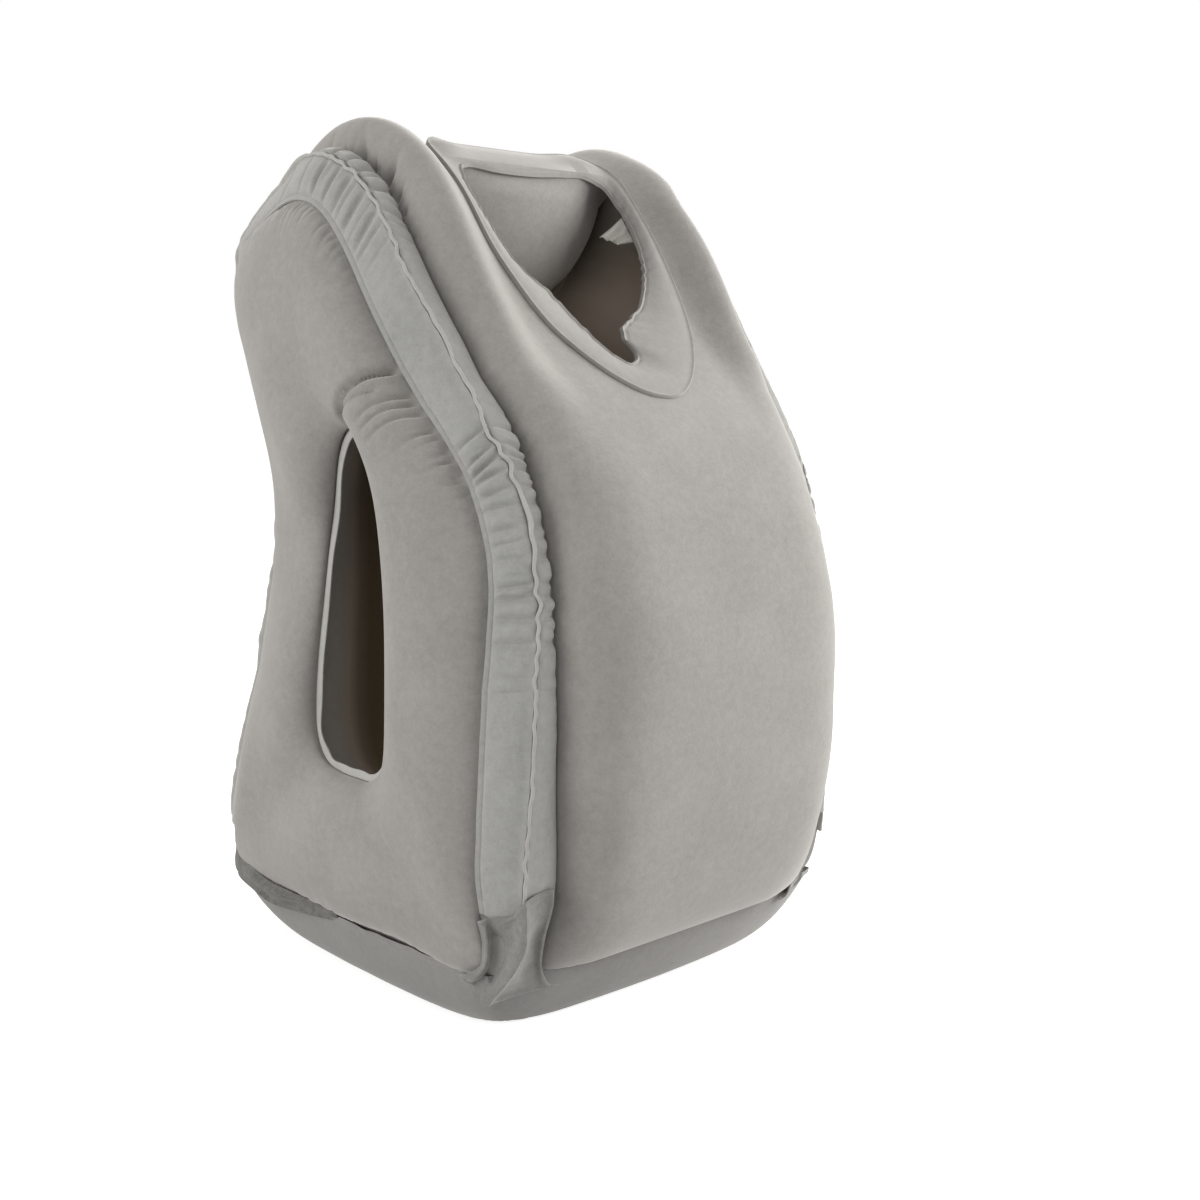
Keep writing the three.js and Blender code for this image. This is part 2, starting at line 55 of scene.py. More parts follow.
SECTIONS = {
    "front_corner": (140.5, -129, 45, 0.2, 14, 12, 14, -28, 141, -50, 122),
    "belly_low": (134, -151, 105, 1, 31, 31, 17, -45, 160, -62, 150),
    "belly_middle": (128.5, -153.5, 184, 1, 39, 38, 19, -51, 202, -66, 200),
    "belly_high": (121.5, -148, 260, 1, 39, 36, 19, -51, 258, -66, 258),
    "chest": (123.3, -126.3, 331, 1, 31, 30, 18, -44, 310, -60, 312),
    "collar_low": (127, -89, 387, 1, 16, 29, 20, -34, 340, -48, 352),
    "collar_middle": (131.5, -53, 437, 1, 12, 34, 21, -23, 353, -25, 385),
    "horn_front": (129.5, -18, 480, 1, 15, 38, 22, -13, 354, 10, 400),
    "crown_front": (127, 28, 513, 1, 18, 37, 22, -4, 348, 40, 395),
    "crown_back": (126, 88, 512, 1, 17, 32, 25, 4, 332, 54, 365),
    "shoulder": (125, 140, 463, 1, 22, 23, 25, 9, 306, 58, 325),
    "back_high": (122, 138, 388, 1, 24, 22, 17, 16, 280, 54, 290),
    "waist": (118, 119, 315, 1, 28, 22, 13, 23, 250, 50, 250),
    "back_middle": (126, 130, 236, 1, 26, 20, 15, 31, 215, 48, 215),
    "back_low": (134, 149, 160, 1, 20, 16, 18, 36, 182, 48, 182),
    "back_base": (139, 157, 98, 1, 16, 14, 17, 35, 158, 46, 155),
    "back_corner": (140.5, 150, 45, 0.2, 12, 10, 14, 25, 144, 38, 128),
    "base_back": (145, 78, 42, 0.08, 6, 4, 17, 12, 140, 20, 120),
    "base_middle": (147, 8, 42, 0.08, 6, 4, 18, 0, 139, 0, 116),
    "base_front": (144, -62, 42, 0.08, 6, 4, 17, -14, 139, -22, 116),
}
ROWS = np.array(list(SECTIONS.values()))
COUNT = len(ROWS)
NEIGHBOURS = np.roll(np.eye(COUNT), 1, 0) + np.roll(np.eye(COUNT), -1, 0)
BENDS = np.linalg.solve(4 * np.eye(COUNT) + NEIGHBOURS, 6 * (NEIGHBOURS @ ROWS - 2 * ROWS))

OPENING_LOW, OPENING_REAR = 14 / 3, 23 / 3  # the face opening, between two places of the loop
OPENING_HALF, OPENING_BLUNT, EGG_POWER = 71.0, 0.05, 2.7
OPENING_SHARE, THROAT_SHARE = 0.5, 0.62  # the opening's edge on the wrap, and in the tunnel's roof
HORN_FOOT, HORN_TOP, WRAP_POWER = 0.6, 0.92, 9


def section(place):
    """The chamber's section at places of its loop: a periodic cubic spline through the rows."""
    turn = np.mod(place, COUNT)
    i = np.floor(turn).astype(int) % COUNT
    j = (i + 1) % COUNT
    f = (turn - np.floor(turn))[..., None]
    g = 1 - f
    values = ROWS[i] * g + ROWS[j] * f + ((g**3 - g) * BENDS[i] + (f**3 - f) * BENDS[j]) / 6
    return dict(zip(SECTION_COLUMNS, np.moveaxis(values, -1, 0)))


def points(x, y, z):
    """Three arrays as one array of points."""
    return np.stack(np.broadcast_arrays(x, y, z), -1).astype(float)


def unit(vectors):
    """Vectors scaled to a length of one."""
    return vectors / np.linalg.norm(vectors, axis=-1, keepdims=True)


def ease(a, b, x):
    """A smooth step from 0 at a to 1 at b."""
    t = np.clip((x - a) / (b - a), 0, 1)
    return t * t * (3 - 2 * t)


# How the gusset's gathers pull on the welds beside it, in millimetres at places of the loop: the
# rear edge towards the seam, and the groove away from it
PULL_PLACES = (0, 0.6, 0.95, 1.25, 1.6, 2, 2.36, 2.55, 2.8, 3.16, 3.43, 3.76, 4.11, 4.54, 4.9, 5.3,
               20)
REAR_IN = (0, 0, 0.8, 2.2, 1, -1.5, -2.5, -1.5, 0, 3.8, 5.8, 6.4, 6.4, 3.8, 1.2, 0, 0)
GROOVE_ON = (0, 3.5, 5, 5, 4.2, 2.8, 0.2, -1.4, -3, -2.4, -1, 0.3, 1.8, 1.8, -2.5, -0.5, 0)


def edges(place):
    """The lines that bound the panels, for x above 0: the seam from the table, the groove in front
    of it and the rear edge behind it, the tunnel's mouth and its middle, and the way out."""
    at = section(place)
    a, b = section(place - 0.002), section(place + 0.002)
    out = unit(points(0, a["seam_z"] - b["seam_z"], b["seam_y"] - a["seam_y"]))
    seam = points(at["seam_x"], at["seam_y"], at["seam_z"])
    turn = np.mod(np.asarray(place, float), COUNT)
    flare = GROOVE_FLARE * (1 - ease(0.3, 1.8, turn)) * (1 - ease(16, 18, turn))
    flare = flare + GROOVE_FLARE * ease(18, 20, turn)
    groove = seam - GROOVE_IN * out - points(GROOVE_OUT + flare, 0, 0)
    rear = seam - at["gusset"][..., None] * (GUSSET_IN * out - [GUSSET_OUT, 0, 0])
    rear_in, groove_on = (np.interp(turn, PULL_PLACES, p)[..., None] for p in (REAR_IN, GROOVE_ON))
    return {
        "at": at,
        "out": out,
        "seam": seam,
        "groove": groove + groove_on * unit(groove - seam),
        "rear": rear + rear_in * unit(seam - rear),
        "rim": points(RIM_X, at["rim_y"], at["rim_z"]),
        "core": points(0, at["core_y"], at["core_z"]),
    }


def wrap_at(place, x):
    """The wrap at x from the middle: it stands out from the groove by the root of 1 - across^9,
    times a height that eases from the middle's to the flank's."""
    line = edges(place)
    at, groove = line["at"], line["groove"]
    across = np.abs(x) / groove[..., 0]
    height = at["middle"] + (at["flank"] - at["middle"]) * ease(HORN_FOOT, HORN_TOP, across)
    height = height * np.sqrt(np.clip(1 - across**WRAP_POWER, 0, None))
    point = groove + height[..., None] * line["out"]
    point[..., 0] = x
    return point


def opening_half(place):
    """Half the width of the face opening: an egg that widens quickly from its rounded lower end."""
    t = np.clip((place - OPENING_LOW) / (OPENING_REAR - OPENING_LOW), 0, 1)
    along = OPENING_BLUNT + (1 - OPENING_BLUNT) * t
    return OPENING_HALF * np.sqrt(1 - (1 - along) ** EGG_POWER)


def wrap(place, share):
    """The wrap as a share of its half width; the line at OPENING_SHARE follows the opening."""
    half = edges(place)["groove"][..., 0]
    beside = ease(OPENING_LOW - 1.6, OPENING_LOW, place)
    beside = beside * (1 - ease(OPENING_REAR, OPENING_REAR + 1.4, place))
    line = half * OPENING_SHARE * (1 - beside) + opening_half(place) * beside
    outer = line + (half - line) * (share - OPENING_SHARE) / (1 - OPENING_SHARE)
    return wrap_at(place, np.where(share <= OPENING_SHARE, line * share / OPENING_SHARE, outer))


def chamfer(place, share):
    """The seat of the gusset: from the groove to the seam at a third, and on to the rear edge."""
    line, s = edges(place), share[..., None]
    near = line["groove"] + (line["seam"] - line["groove"]) * s * 3
    far = line["seam"] + (line["rear"] - line["seam"]) * (s * 3 - 1) / 2
    return np.where(s <= 1 / 3, near, far)


SOFTEN = ((-1.2, 0.1), (-0.6, 0.2), (0, 0.4), (0.6, 0.2), (1.2, 0.1))


def side(place, share):
    """The side panel, from the gusset to the tunnel's mouth: its outer line rounds off the corners
    as a running mean, and it bulges by the bulge times (1 - |2 share - 1|^2.6)^0.6."""
    line, s = edges(place), share[..., None]
    soft = sum(weight * edges(place + shift)["rear"] for shift, weight in SOFTEN)
    outer = line["rear"] + (soft - line["rear"]) * ease(0, 0.45, s)
    point = outer + (line["rim"] - outer) * s
    swell = np.clip(1 - np.abs(2 * share - 1) ** 2.6, 0, None) ** 0.6
    point[..., 0] += line["at"]["bulge"] * swell
    return point


def tunnel(place, share):
    """The arm tunnel's wall, from its mouth to the middle: y and z swing by 1 - (1 - share)^2.5."""
    line, s = edges(place), share[..., None]
    swing = 1 - (1 - s) ** 2.5
    return line["rim"] + (line["core"] - line["rim"]) * np.concatenate(
        [s, swing, swing], -1)


def wander(t, seed, waves=6):
    """A smooth random line from about -1 to 1: sine waves of seeded lengths and phases, added."""
    dice = np.random.default_rng(seed)
    rates, phases = dice.uniform(0.4, 2.2, waves), dice.uniform(0, 2 * np.pi, waves)
    return sum(np.sin(rate * t + phase) for rate, phase in zip(rates, phases)) / waves**0.5 / 1.2


PANEL_RUN, STRIP_RUN = 1700, 1500  # millimetres of weld that folds are drawn for
FOLD_SIGHT = 28  # a fold is felt this far along the weld


def fold_spots(seed, length, spacing):
    """Folds along a weld, drawn by seed: where each starts, its depth from 0 to 1, its lean, and
    its reach and width in millimetres."""
    dice = np.random.default_rng(seed)
    at = np.cumsum(spacing * dice.uniform(0.4, 1.7, int(1.2 * length / spacing)))
    n = len(at)
    return np.stack([at, dice.uniform(0.25, 1, n), dice.uniform(-0.35, 0.45, n),
                     dice.uniform(7, 20, n), dice.uniform(1.1, 2.1, n)], 1)


def drawn_in(along, away, spots):
    """How far film is drawn in beside a weld. Each fold is a valley with a sharp bottom: its depth
    times exp(-(offset / width)^1.3 - (away / reach)^2), where the offset leans and the width grows
    with the distance away. The folds are added up, and deep sums are held back."""
    deep = np.zeros(away.shape)
    for spot, depth, lean, reach, width in spots:
        near = np.abs(along - spot) < FOLD_SIGHT
        far = away[near]
        offset = np.abs(along[near][:, None] - spot - lean * far)
        deep[near] += depth * np.exp(-(offset / (width + 0.1 * far)) ** 1.3 - (far / reach) ** 2)
    return deep / (1 + 0.25 * deep)


# How strongly the film is gathered at places of the loop, from the front corner over the crown
RUCHE_PLACES = (0, 1, 1.8, 2.4, 2.8, 3.2, 4.3, 4.7, 5.5, 6.3, 6.8, 7.2, 9.2, 10, 11, 12, 13, 14,
                15, 16, 20)
RUCHE = {
    "strip": (0.2, 0.15, 0.2, 0.6, 1.0, 1.1, 1.0, 0.3, 0.04, 0.1, 0.5, 0.9, 0.3, 0.25, 0.25, 0.3,
              0.25, 0.2, 0.2, 0.2, 0.2),
    "wrap": (0.1, 0, 0.03, 0.08, 0.15, 0.2, 0.25, 0.1, 0.03, 0.04, 0.2, 0.4, 0.6, 0.6, 0.3, 0.6,
             0.3, 0.1, 0.1, 0.2, 0.1),
    "side": (0.4, 0.1, 0.1, 0.15, 0.2, 0.3, 0.8, 0.7, 0.15, 0.2, 0.45, 0.6, 0.7, 0.6, 0.4, 0.6,
             0.35, 0.2, 0.3, 0.5, 0.4),
}
LEFT_SEED, RIGHT_SEED = 11, 23


def ruche(kind, place, along, seed):
    """The table above, made uneven along the weld."""
    uneven = np.clip(0.9 + 0.35 * wander(along / 19, seed), 0.45, None)
    return np.interp(place, RUCHE_PLACES, RUCHE[kind]) * uneven


def run_along(place):
    """Millimetres along the standing seam at places of the loop."""
    fine = np.linspace(0, COUNT, 2001)
    seam = edges(fine)["seam"]
    length = np.concatenate([[0], np.cumsum(np.linalg.norm(np.diff(seam, axis=0), axis=1))])
    return np.interp(np.mod(place, COUNT), fine, length)


def spaced(start, end, cells, lean=0.0):
    """Shares from start to end, closer together towards the end if lean is above 0."""
    t = np.linspace(0, 1, cells + 1)
    return start + (end - start) * (1 - (1 - t) ** (1 + lean))


LOOP_CELLS = ((0, 3.6, 150), (3.6, OPENING_LOW, 95), (OPENING_LOW, 5.4, 60), (5.4, 6.9, 62),
              (6.9, OPENING_REAR, 62), (OPENING_REAR, 9.3, 115), (9.3, 16, 240), (16, COUNT, 60))
OPENING_CELLS = 12
places = np.concatenate([np.linspace(a, b, n, endpoint=False) for a, b, n in LOOP_CELLS])
round_ends = (1 - np.cos(np.pi * np.linspace(0, 1, 27) ** 0.9)) / 2
PANELS = (
    (wrap, np.concatenate([spaced(0, OPENING_SHARE, OPENING_CELLS),
                           spaced(OPENING_SHARE, 1, 20, 1.2)[1:]])),
    (chamfer, np.array([1 / 6, 1 / 3, 2 / 3, 1.0])),
    (side, round_ends[1:]),
    (tunnel, np.concatenate([spaced(0, THROAT_SHARE, 10)[1:],
                             spaced(THROAT_SHARE, 1, OPENING_CELLS)[1:]])),
)
WRAP, CHAMFER, SIDE, TUNNEL = range(4)


def skin_grid():
    """The chamber as a grid: its loop by its section, both closed on themselves. For each column
    also the number of its panel and its share of it, and for each point its distance from the
    weld that draws it in. The second half of a section is the first in a mirror."""
    u = places[:, None]
    half, kind, shares = [], [], []
    for number, (panel, share) in enumerate(PANELS):
        half.append(panel(*np.broadcast_arrays(u, share[None, :])))
        kind += [number] * len(share)
        shares += list(share)
    half, kind = np.concatenate(half, 1), np.array(kind)
    half[..., 2] = np.maximum(half[..., 2], SEAM_Z)
    steps = np.linalg.norm(np.diff(half, axis=1, prepend=half[:, :1]), axis=-1)
    run = np.cumsum(steps, 1)
    groove, rear = np.flatnonzero(kind == WRAP)[-1], np.flatnonzero(kind == CHAMFER)[-1]
    away = np.where(kind == WRAP, run[:, groove:groove + 1] - run, run - run[:, rear:rear + 1])
    mirror = slice(-2, 0, -1)
    grid = np.concatenate([half, half[:, mirror] * [-1, 1, 1]], 1)
    kind, shares = np.append(kind, kind[mirror]), np.append(shares, shares[mirror])
    return grid, kind, shares, np.concatenate([away, away[:, mirror]], 1)


def normals_of(grid, closed):
    """Normals of a grid of points, from the differences of its neighbours."""
    if closed:
        du, dv = (np.roll(grid, -1, a) - np.roll(grid, 1, a) for a in (0, 1))
    else:
        du, dv = np.gradient(grid, axis=0), np.gradient(grid, axis=1)
    return unit(np.cross(dv, du) + 1e-12)


PUCKER = {"wrap": 4.2, "side": 3.4}  # deepest fold, in millimetres
# The deepest folds of the wrap over the crown: place of the loop, depth, lean, reach and width
CROWN_FOLDS = ((6.95, 0.7, 0.2, 8, 1.8), (7.18, 1.6, 0.2, 9, 1.8), (7.45, 3.8, 0.25, 15, 2.2),
               (7.72, 2.0, 0.3, 8, 1.6), (8.0, 3.8, 0.3, 13, 2.2), (8.3, 1.4, 0.2, 8, 1.8),
               (8.62, 1.0, 0.0, 9, 1.9), (9.05, 0.6, -0.1, 8, 1.8))
# Long creases from the arm opening's top corner to the gusset: y and z of three points, the depth
# and the width in millimetres, and how deep its first end is
ARM_CREASES = (
    ((-17, 359), (-42, 382), (-71, 390), 7.0, 1.9, 0.9),
    ((-22, 361), (-38, 372), (-52, 376), 3.4, 1.9, 0.9),
    ((-45, 361), (-57, 370), (-70, 374), 4.6, 1.6, 0.3),
    ((-48, 354), (-60, 365), (-73, 369), 4.6, 1.6, 0.2),
    ((-53, 348), (-66, 360), (-78, 363), 4.2, 1.5, 0.2),
    ((-72, 342), (-79, 351), (-87, 355), 4.0, 1.5, 0.2),
    ((-81, 343), (-87, 350), (-93, 353), 3.4, 1.4, 0.2),
    ((-88, 330), (-93, 335), (-99, 338), 3.0, 1.4, 0.2),
    ((-40, 397), (-58, 402), (-80, 399), 1.6, 2.6, 0.5),
)


def crease(y, z, line):
    """A valley along a curve through three points of the y-z plane: its depth, which grows from
    its first end, times exp(-(distance / width)^1.4)."""
    a, b, c = np.array(line[:3], float)
    depth, width, first = line[3:]
    t = np.linspace(0, 1, 9)[:, None]
    path = a * (1 - t) * (1 - 2 * t) + 4 * b * t * (1 - t) + c * t * (2 * t - 1)
    nearest, grown = np.full(y.shape, 1e9), np.zeros(y.shape)
    for k, ((y0, z0), (y1, z1)) in enumerate(zip(path, path[1:])):
        run = (y1 - y0) ** 2 + (z1 - z0) ** 2
        share = np.clip(((y - y0) * (y1 - y0) + (z - z0) * (z1 - z0)) / run, 0, 1)
        far = np.hypot(y - y0 - share * (y1 - y0), z - z0 - share * (z1 - z0))
        grown = np.where(far < nearest, (k + share) / 8, grown)
        nearest = np.minimum(nearest, far)
    return depth * (first + (1 - first) * grown) * np.exp(-(nearest / width) ** 1.4)


# How far the sides are drawn in behind the arm openings, in millimetres at heights
DRAWN_HEIGHTS = (90, 130, 185, 240, 300, 400, 440, 470, 490, 507, 525)
DRAWN_IN = (0, 3, 6.5, 3.5, 0, 0, -3, -5, 0, 5.5, 5)


CORNER_PULL, CROWN_FULLER = 11, 7  # on the +x side alone


def tucked(point):
    """The skin as it settles: drawn in at its rear corners by the table above, and on the +x side
    pulled in at the front corner, behind the wrap's flank, and fuller at the crown."""
    x, y, z = np.moveaxis(point, -1, 0)
    rear = ease(40, 110, y) * ease(90, 130, np.abs(x))
    rear = rear * np.interp(z, DRAWN_HEIGHTS, DRAWN_IN)
    pull = CORNER_PULL * ease(95, 150, x) * (1 - ease(105, 195, z)) * ease(-60, -125, y)
    full = CROWN_FULLER * ease(60, 110, x) * ease(495, 522, z)
    return np.stack([x - pull + full - np.sign(x) * rear, y - 0.4 * rear, z], -1)


def creased(grid, kind, away):
    """The skin as the welds and the arm openings leave it: drawn in by folds beside the gusset,
    creased above the openings and a little uneven all over."""
    normal, along = normals_of(grid, True), run_along(places)
    right = np.arange(grid.shape[1]) > grid.shape[1] // 2
    push = np.zeros(grid.shape[:2])
    for seed, here, lift, share in ((LEFT_SEED, ~right, -9, 0.8), (RIGHT_SEED, right, 0, 1.0)):
        for number, panel, spacing in ((WRAP, "wrap", 11.0), (SIDE, "side", 8.0)):
            columns = here & (kind == number)
            spots = fold_spots(seed + 7 * number, PANEL_RUN, spacing)
            deep = drawn_in(along, away[:, columns], spots)
            deep = deep * ruche(panel, places, along, seed + 1)[:, None]
            if panel == "wrap":
                crown = [(run_along(np.array(spot)), *shape) for spot, *shape in CROWN_FOLDS]
                deep += drawn_in(along, away[:, columns], crown)
            push[:, columns] -= PUCKER[panel] * deep * ease(0, 2.5, away[:, columns])
        columns = here & (kind == SIDE)
        y, z = grid[:, columns, 1], grid[:, columns, 2] - lift
        for line in ARM_CREASES:
            push[:, columns] -= share * crease(y, z, line) * ease(0, 4, away[:, columns])
    shown = ((kind == WRAP) | (kind == SIDE))[None, :]
    x, y, z = np.moveaxis(grid, -1, 0)
    swell = 0.8 * wander(z / 24 + x / 31, 5) * wander(y / 27 + z / 90, 6)
    push += swell * shown * ease(SEAM_Z + 2, SEAM_Z + 40, z)
    return tucked(grid + normal * push[..., None])


def quads_between(rows):
    """Four corners for each cell between rows of point numbers, each row closed on itself."""
    near, far = rows[:-1], rows[1:]
    cells = np.stack([near, far, np.roll(far, -1, 1), np.roll(near, -1, 1)], -1)
    return cells.reshape(-1, 4)


def new_piece(name, place, quads, material, hollow_shade=None):
    """A smooth closed piece from points in millimetres and the four corners of each face, turned
    so that its faces look outwards: the volume inside them, the sum of a.(b x c) + a.(c x d), is
    above 0. The optional shade values, from 0 to 1, say how deep each point lies inside, and its
    material paints shade by them as a point attribute."""
    used, index = np.unique(quads, return_inverse=True)
    corners = index.reshape(-1, 4)
    a, b, c, d = np.moveaxis((place[used] - place[used].mean(0))[corners], 1, 0)
    if np.sum(np.cross(a, b) * c + np.cross(a, c) * d) < 0:
        corners = corners[:, ::-1]
    mesh = bpy.data.meshes.new(name)
    mesh.vertices.add(len(used))
    mesh.vertices.foreach_set("co", (place[used] * MM).astype(np.float32).ravel())
    mesh.loops.add(corners.size)
    mesh.loops.foreach_set("vertex_index", corners.astype(np.int32).ravel())
    mesh.polygons.add(len(corners))
    mesh.polygons.foreach_set("loop_start", np.arange(0, corners.size, 4, dtype=np.int32))
    mesh.polygons.foreach_set("use_smooth", np.ones(len(corners), bool))
    mesh.update(calc_edges=True)
    mesh.validate()
    mesh.set_sharp_from_angle(angle=math.radians(60))
    mesh.materials.append(material)
    if hollow_shade is not None:
        layer = mesh.attributes.new("hollow_shade", "FLOAT", "POINT")
        layer.data.foreach_set("value", hollow_shade[used].astype(np.float32))
    piece = bpy.data.objects.new(name, mesh)
    bpy.context.scene.collection.objects.link(piece)
    return piece


# The second figure is the most painted shade that the throat takes, from 0 to 1.
THROAT_STEPS, THROAT_SHADE_TOP = 30, 0.7
# The throat's rear corners, by the share of its depth: how far out from the middle they stand
CORNER_DEPTHS = (0, 0.05, 0.12, 0.2, 0.32, 0.46, 0.6, 0.75, 1)
CORNER_OUT = (71, 82, 92, 94, 90, 80, 67, 60, 57)
BULB_HIGH, BULB_RADIUS, BULB_FRONT, BULB_BACK = 525.0, 98.0, -3.0, 48.0


def throat_rings(grid):
    """The throat joins the hole in the wrap to the one in the tunnel's roof. Its sides are straight
    lines from edge to edge that bow out to the rear corners. Its rear is a bulb of the back
    chamber: y = back + (front - back) * (1 - (distance from its middle / radius)^2)^0.5.
    Also says which cells the holes take away, and how much painted shade each point takes: it grows
    with depth, and the bulb's front, which faces the light, is spared."""
    low, rear = np.searchsorted(places, (OPENING_LOW - 1e-6, OPENING_REAR - 1e-6))
    width, n = grid.shape[1], OPENING_CELLS
    up, down = np.arange(low, rear), np.arange(rear, low, -1)
    over, under = np.arange(n, -n, -1), np.arange(-n, n)
    u = np.concatenate([up, np.full(2 * n, rear), down, np.full(2 * n, low)])
    v = np.concatenate([np.full(len(up), n), over, np.full(len(down), -n), under])
    outer, inner = grid[u, v % width], grid[u, (width // 2 - v) % width]
    depth = (np.arange(1, THROAT_STEPS) / THROAT_STEPS)[:, None]
    walls = outer + (inner - outer) * depth[..., None]
    rearward = ease(0.15, 1, (u - low) / (rear - low))[None, :]
    x, y, z = np.moveaxis(walls, -1, 0)
    corner = np.interp(depth, CORNER_DEPTHS, CORNER_OUT)
    line = np.abs(outer[:, 0]) * (1 - depth) + np.abs(inner[:, 0]) * depth
    edge = np.abs(grid[rear, n % width, 0]) * (1 - depth) + np.abs(
        grid[rear, (width // 2 - n) % width, 0]) * depth
    x = np.sign(v) * np.where(np.abs(v) == n, line + (corner - edge) * rearward,
                              np.abs(x) * (1 + (corner / edge - 1) * rearward))
    round_off = 1 - (x / BULB_RADIUS) ** 2 - ((BULB_HIGH - z) / BULB_RADIUS) ** 2
    bulb = np.sqrt(np.clip(round_off, 0, None))
    back = BULB_BACK + (BULB_FRONT - BULB_BACK) * bulb
    back = y + (back - y) * ease(0, 0.14, depth) * (1 - ease(0.72, 1, depth))
    y = np.where((u == rear)[None, :], back, y + (back - y) * rearward**4)
    behind = (u == rear)[None, :] | (rearward > 0.97)
    # Painted shade: it darkens deeper into the throat, while the bulb's front stays light.
    hollow_shade = np.where(behind, 1 - ease(0.1, 0.55, bulb), ease(0, 0.3, depth))
    hollow_shade = THROAT_SHADE_TOP * hollow_shade * ease(0, 0.06, depth)
    top, bottom = u * width + v % width, u * width + (width // 2 - v) % width
    return top, np.stack([x, y, z], -1), bottom, (low, rear, n), hollow_shade


def chamber_mesh(material):
    """The creased grid with its holes, and the throat between them."""
    grid, kind, shares, away = skin_grid()
    grid = creased(grid, kind, away)
    top, walls, bottom, (low, rear, n), throat_shade = throat_rings(grid)
    lines, width = grid.shape[:2]
    number = np.arange(lines * width).reshape(lines, width)
    cells = quads_between(np.concatenate([number, number[:1]])).reshape(lines, width, 4)
    keep = np.ones((lines, width), bool)
    v = np.arange(width)
    for middle in (0, width // 2):
        gap = np.abs((v + 0.5 - middle + width / 2) % width - width / 2)
        keep[low:rear, gap < n] = False
    rings = lines * width + np.arange(walls[..., 0].size).reshape(len(walls), -1)
    throat = quads_between(np.concatenate([top[None], rings, bottom[None]]))
    place = np.concatenate([grid.reshape(-1, 3), walls.reshape(-1, 3)])
    quads = np.concatenate([cells[keep], throat[:, ::-1]])
    # Painted shade in the arm tunnels, deepening from their mouths, and then in the throat.
    hollow_shade = np.where(kind == TUNNEL, ease(0.01, 0.3, shares), 0) * np.ones((lines, 1))
    hollow_shade = np.concatenate([hollow_shade.ravel(), throat_shade.ravel()])
    return new_piece("chamber_skin", place, quads, material, hollow_shade=hollow_shade)


def linear(hex_colour):
    """An sRGB hex colour as the linear red, green, blue and alpha that a socket takes."""
    values = [int(hex_colour[i:i + 2], 16) / 255 for i in (1, 3, 5)]
    curve = [v / 12.92 if v <= 0.04045 else ((v + 0.055) / 1.055) ** 2.4 for v in values]
    return (*curve, 1.0)


def add(tree, kind, settings=(), values=(), links=()):
    """A node with its settings, the values of its inputs, and links into its inputs."""
    node = tree.nodes.new(kind)
    for name, value in dict(settings).items():
        setattr(node, name, value)
    for key, value in dict(values).items():
        node.inputs[key].default_value = value
    for key, source in dict(links).items():
        tree.links.new(source, node.inputs[key])
    return node


# Scale, detail and roughness of the noises in the pile: clouds of 40 mm where it is stroked, mottles
# of 5 mm, and the fibres, which are 0.7 mm long and drawn at 1.6 mm to show
PILE_NOISES = ((25.0, 2.0, 0.5), (190.0, 3.0, 0.65), (620.0, 2.0, 0.7))
FLOCK = {"Roughness": 0.92, "Specular IOR Level": 0.2, "Sheen Roughness": 0.45,
         "Sheen Tint": linear("#dedbd6")}


def two_colours(tree, factor, positions, colours):
    """A ramp of two hex colours at two positions of a factor."""
    ramp = add(tree, "ShaderNodeValToRGB", links={"Fac": factor})
    for element, position, colour in zip(ramp.color_ramp.elements, positions, colours):
        element.position, element.color = position, linear(colour)
    return ramp.outputs["Color"]


def flocked_film(name, dark, light, sheen=1.0, inside=()):
    """Flocked PVC film: short nylon fibres stand on a soft film, so it is matt, brightens towards
    its edges, and shows faint clouds. Inside are the colours of painted shade for the hollows:
    warm browns that darken the throat and the arm tunnels with depth, where the sheen is taken off."""
    material = bpy.data.materials.new(name)
    material.use_nodes = True
    tree = material.node_tree
    shader = tree.nodes["Principled BSDF"]
    where = add(tree, "ShaderNodeTexCoord").outputs["Object"]
    clouds, mottles, pile = (
        add(tree, "ShaderNodeTexNoise", values={"Scale": scale, "Detail": detail, "Roughness": rough},
            links={"Vector": where}).outputs["Fac"] for scale, detail, rough in PILE_NOISES)
    mixed = add(tree, "ShaderNodeMix", {"data_type": "FLOAT"}, {0: 0.62}, {2: clouds, 3: mottles})
    shade = add(tree, "ShaderNodeMix", {"data_type": "FLOAT"}, {0: 0.3},
                {2: mixed.outputs[0], 3: pile})
    colour = two_colours(tree, shade.outputs[0], (0.3, 0.7), (dark, light))
    if inside:
        # Painted shade in the hollows: the deeper a point lies, the more its colour turns to the
        # inside browns and its sheen fades. The brown darkens further in the tunnels.
        hollow_shade = add(tree, "ShaderNodeAttribute", {"attribute_name": "hollow_shade"}).outputs["Fac"]
        share = add(tree, "ShaderNodeMath", {"operation": "MULTIPLY"}, {1: 1 / THROAT_SHADE_TOP},
                    {0: hollow_shade}).outputs[0]
        deep = two_colours(tree, hollow_shade, (THROAT_SHADE_TOP, 1.0), inside)
        colour = add(tree, "ShaderNodeMix", {"data_type": "RGBA"},
                     links={0: share, 6: colour, 7: deep}).outputs[2]
        unshaded_sheen = add(tree, "ShaderNodeMath", {"operation": "MULTIPLY_ADD", "use_clamp": True},
                      {1: -sheen, 2: sheen}, {0: share})
        tree.links.new(unshaded_sheen.outputs[0], shader.inputs["Sheen Weight"])
    bump = add(tree, "ShaderNodeBump", values={"Strength": 0.3, "Distance": 0.0004},
               links={"Height": pile})
    tree.links.new(colour, shader.inputs["Base Color"])
    tree.links.new(bump.outputs["Normal"], shader.inputs["Normal"])
    for socket, value in (*FLOCK.items(), ("Sheen Weight", sheen)):
        shader.inputs[socket].default_value = value
    return material


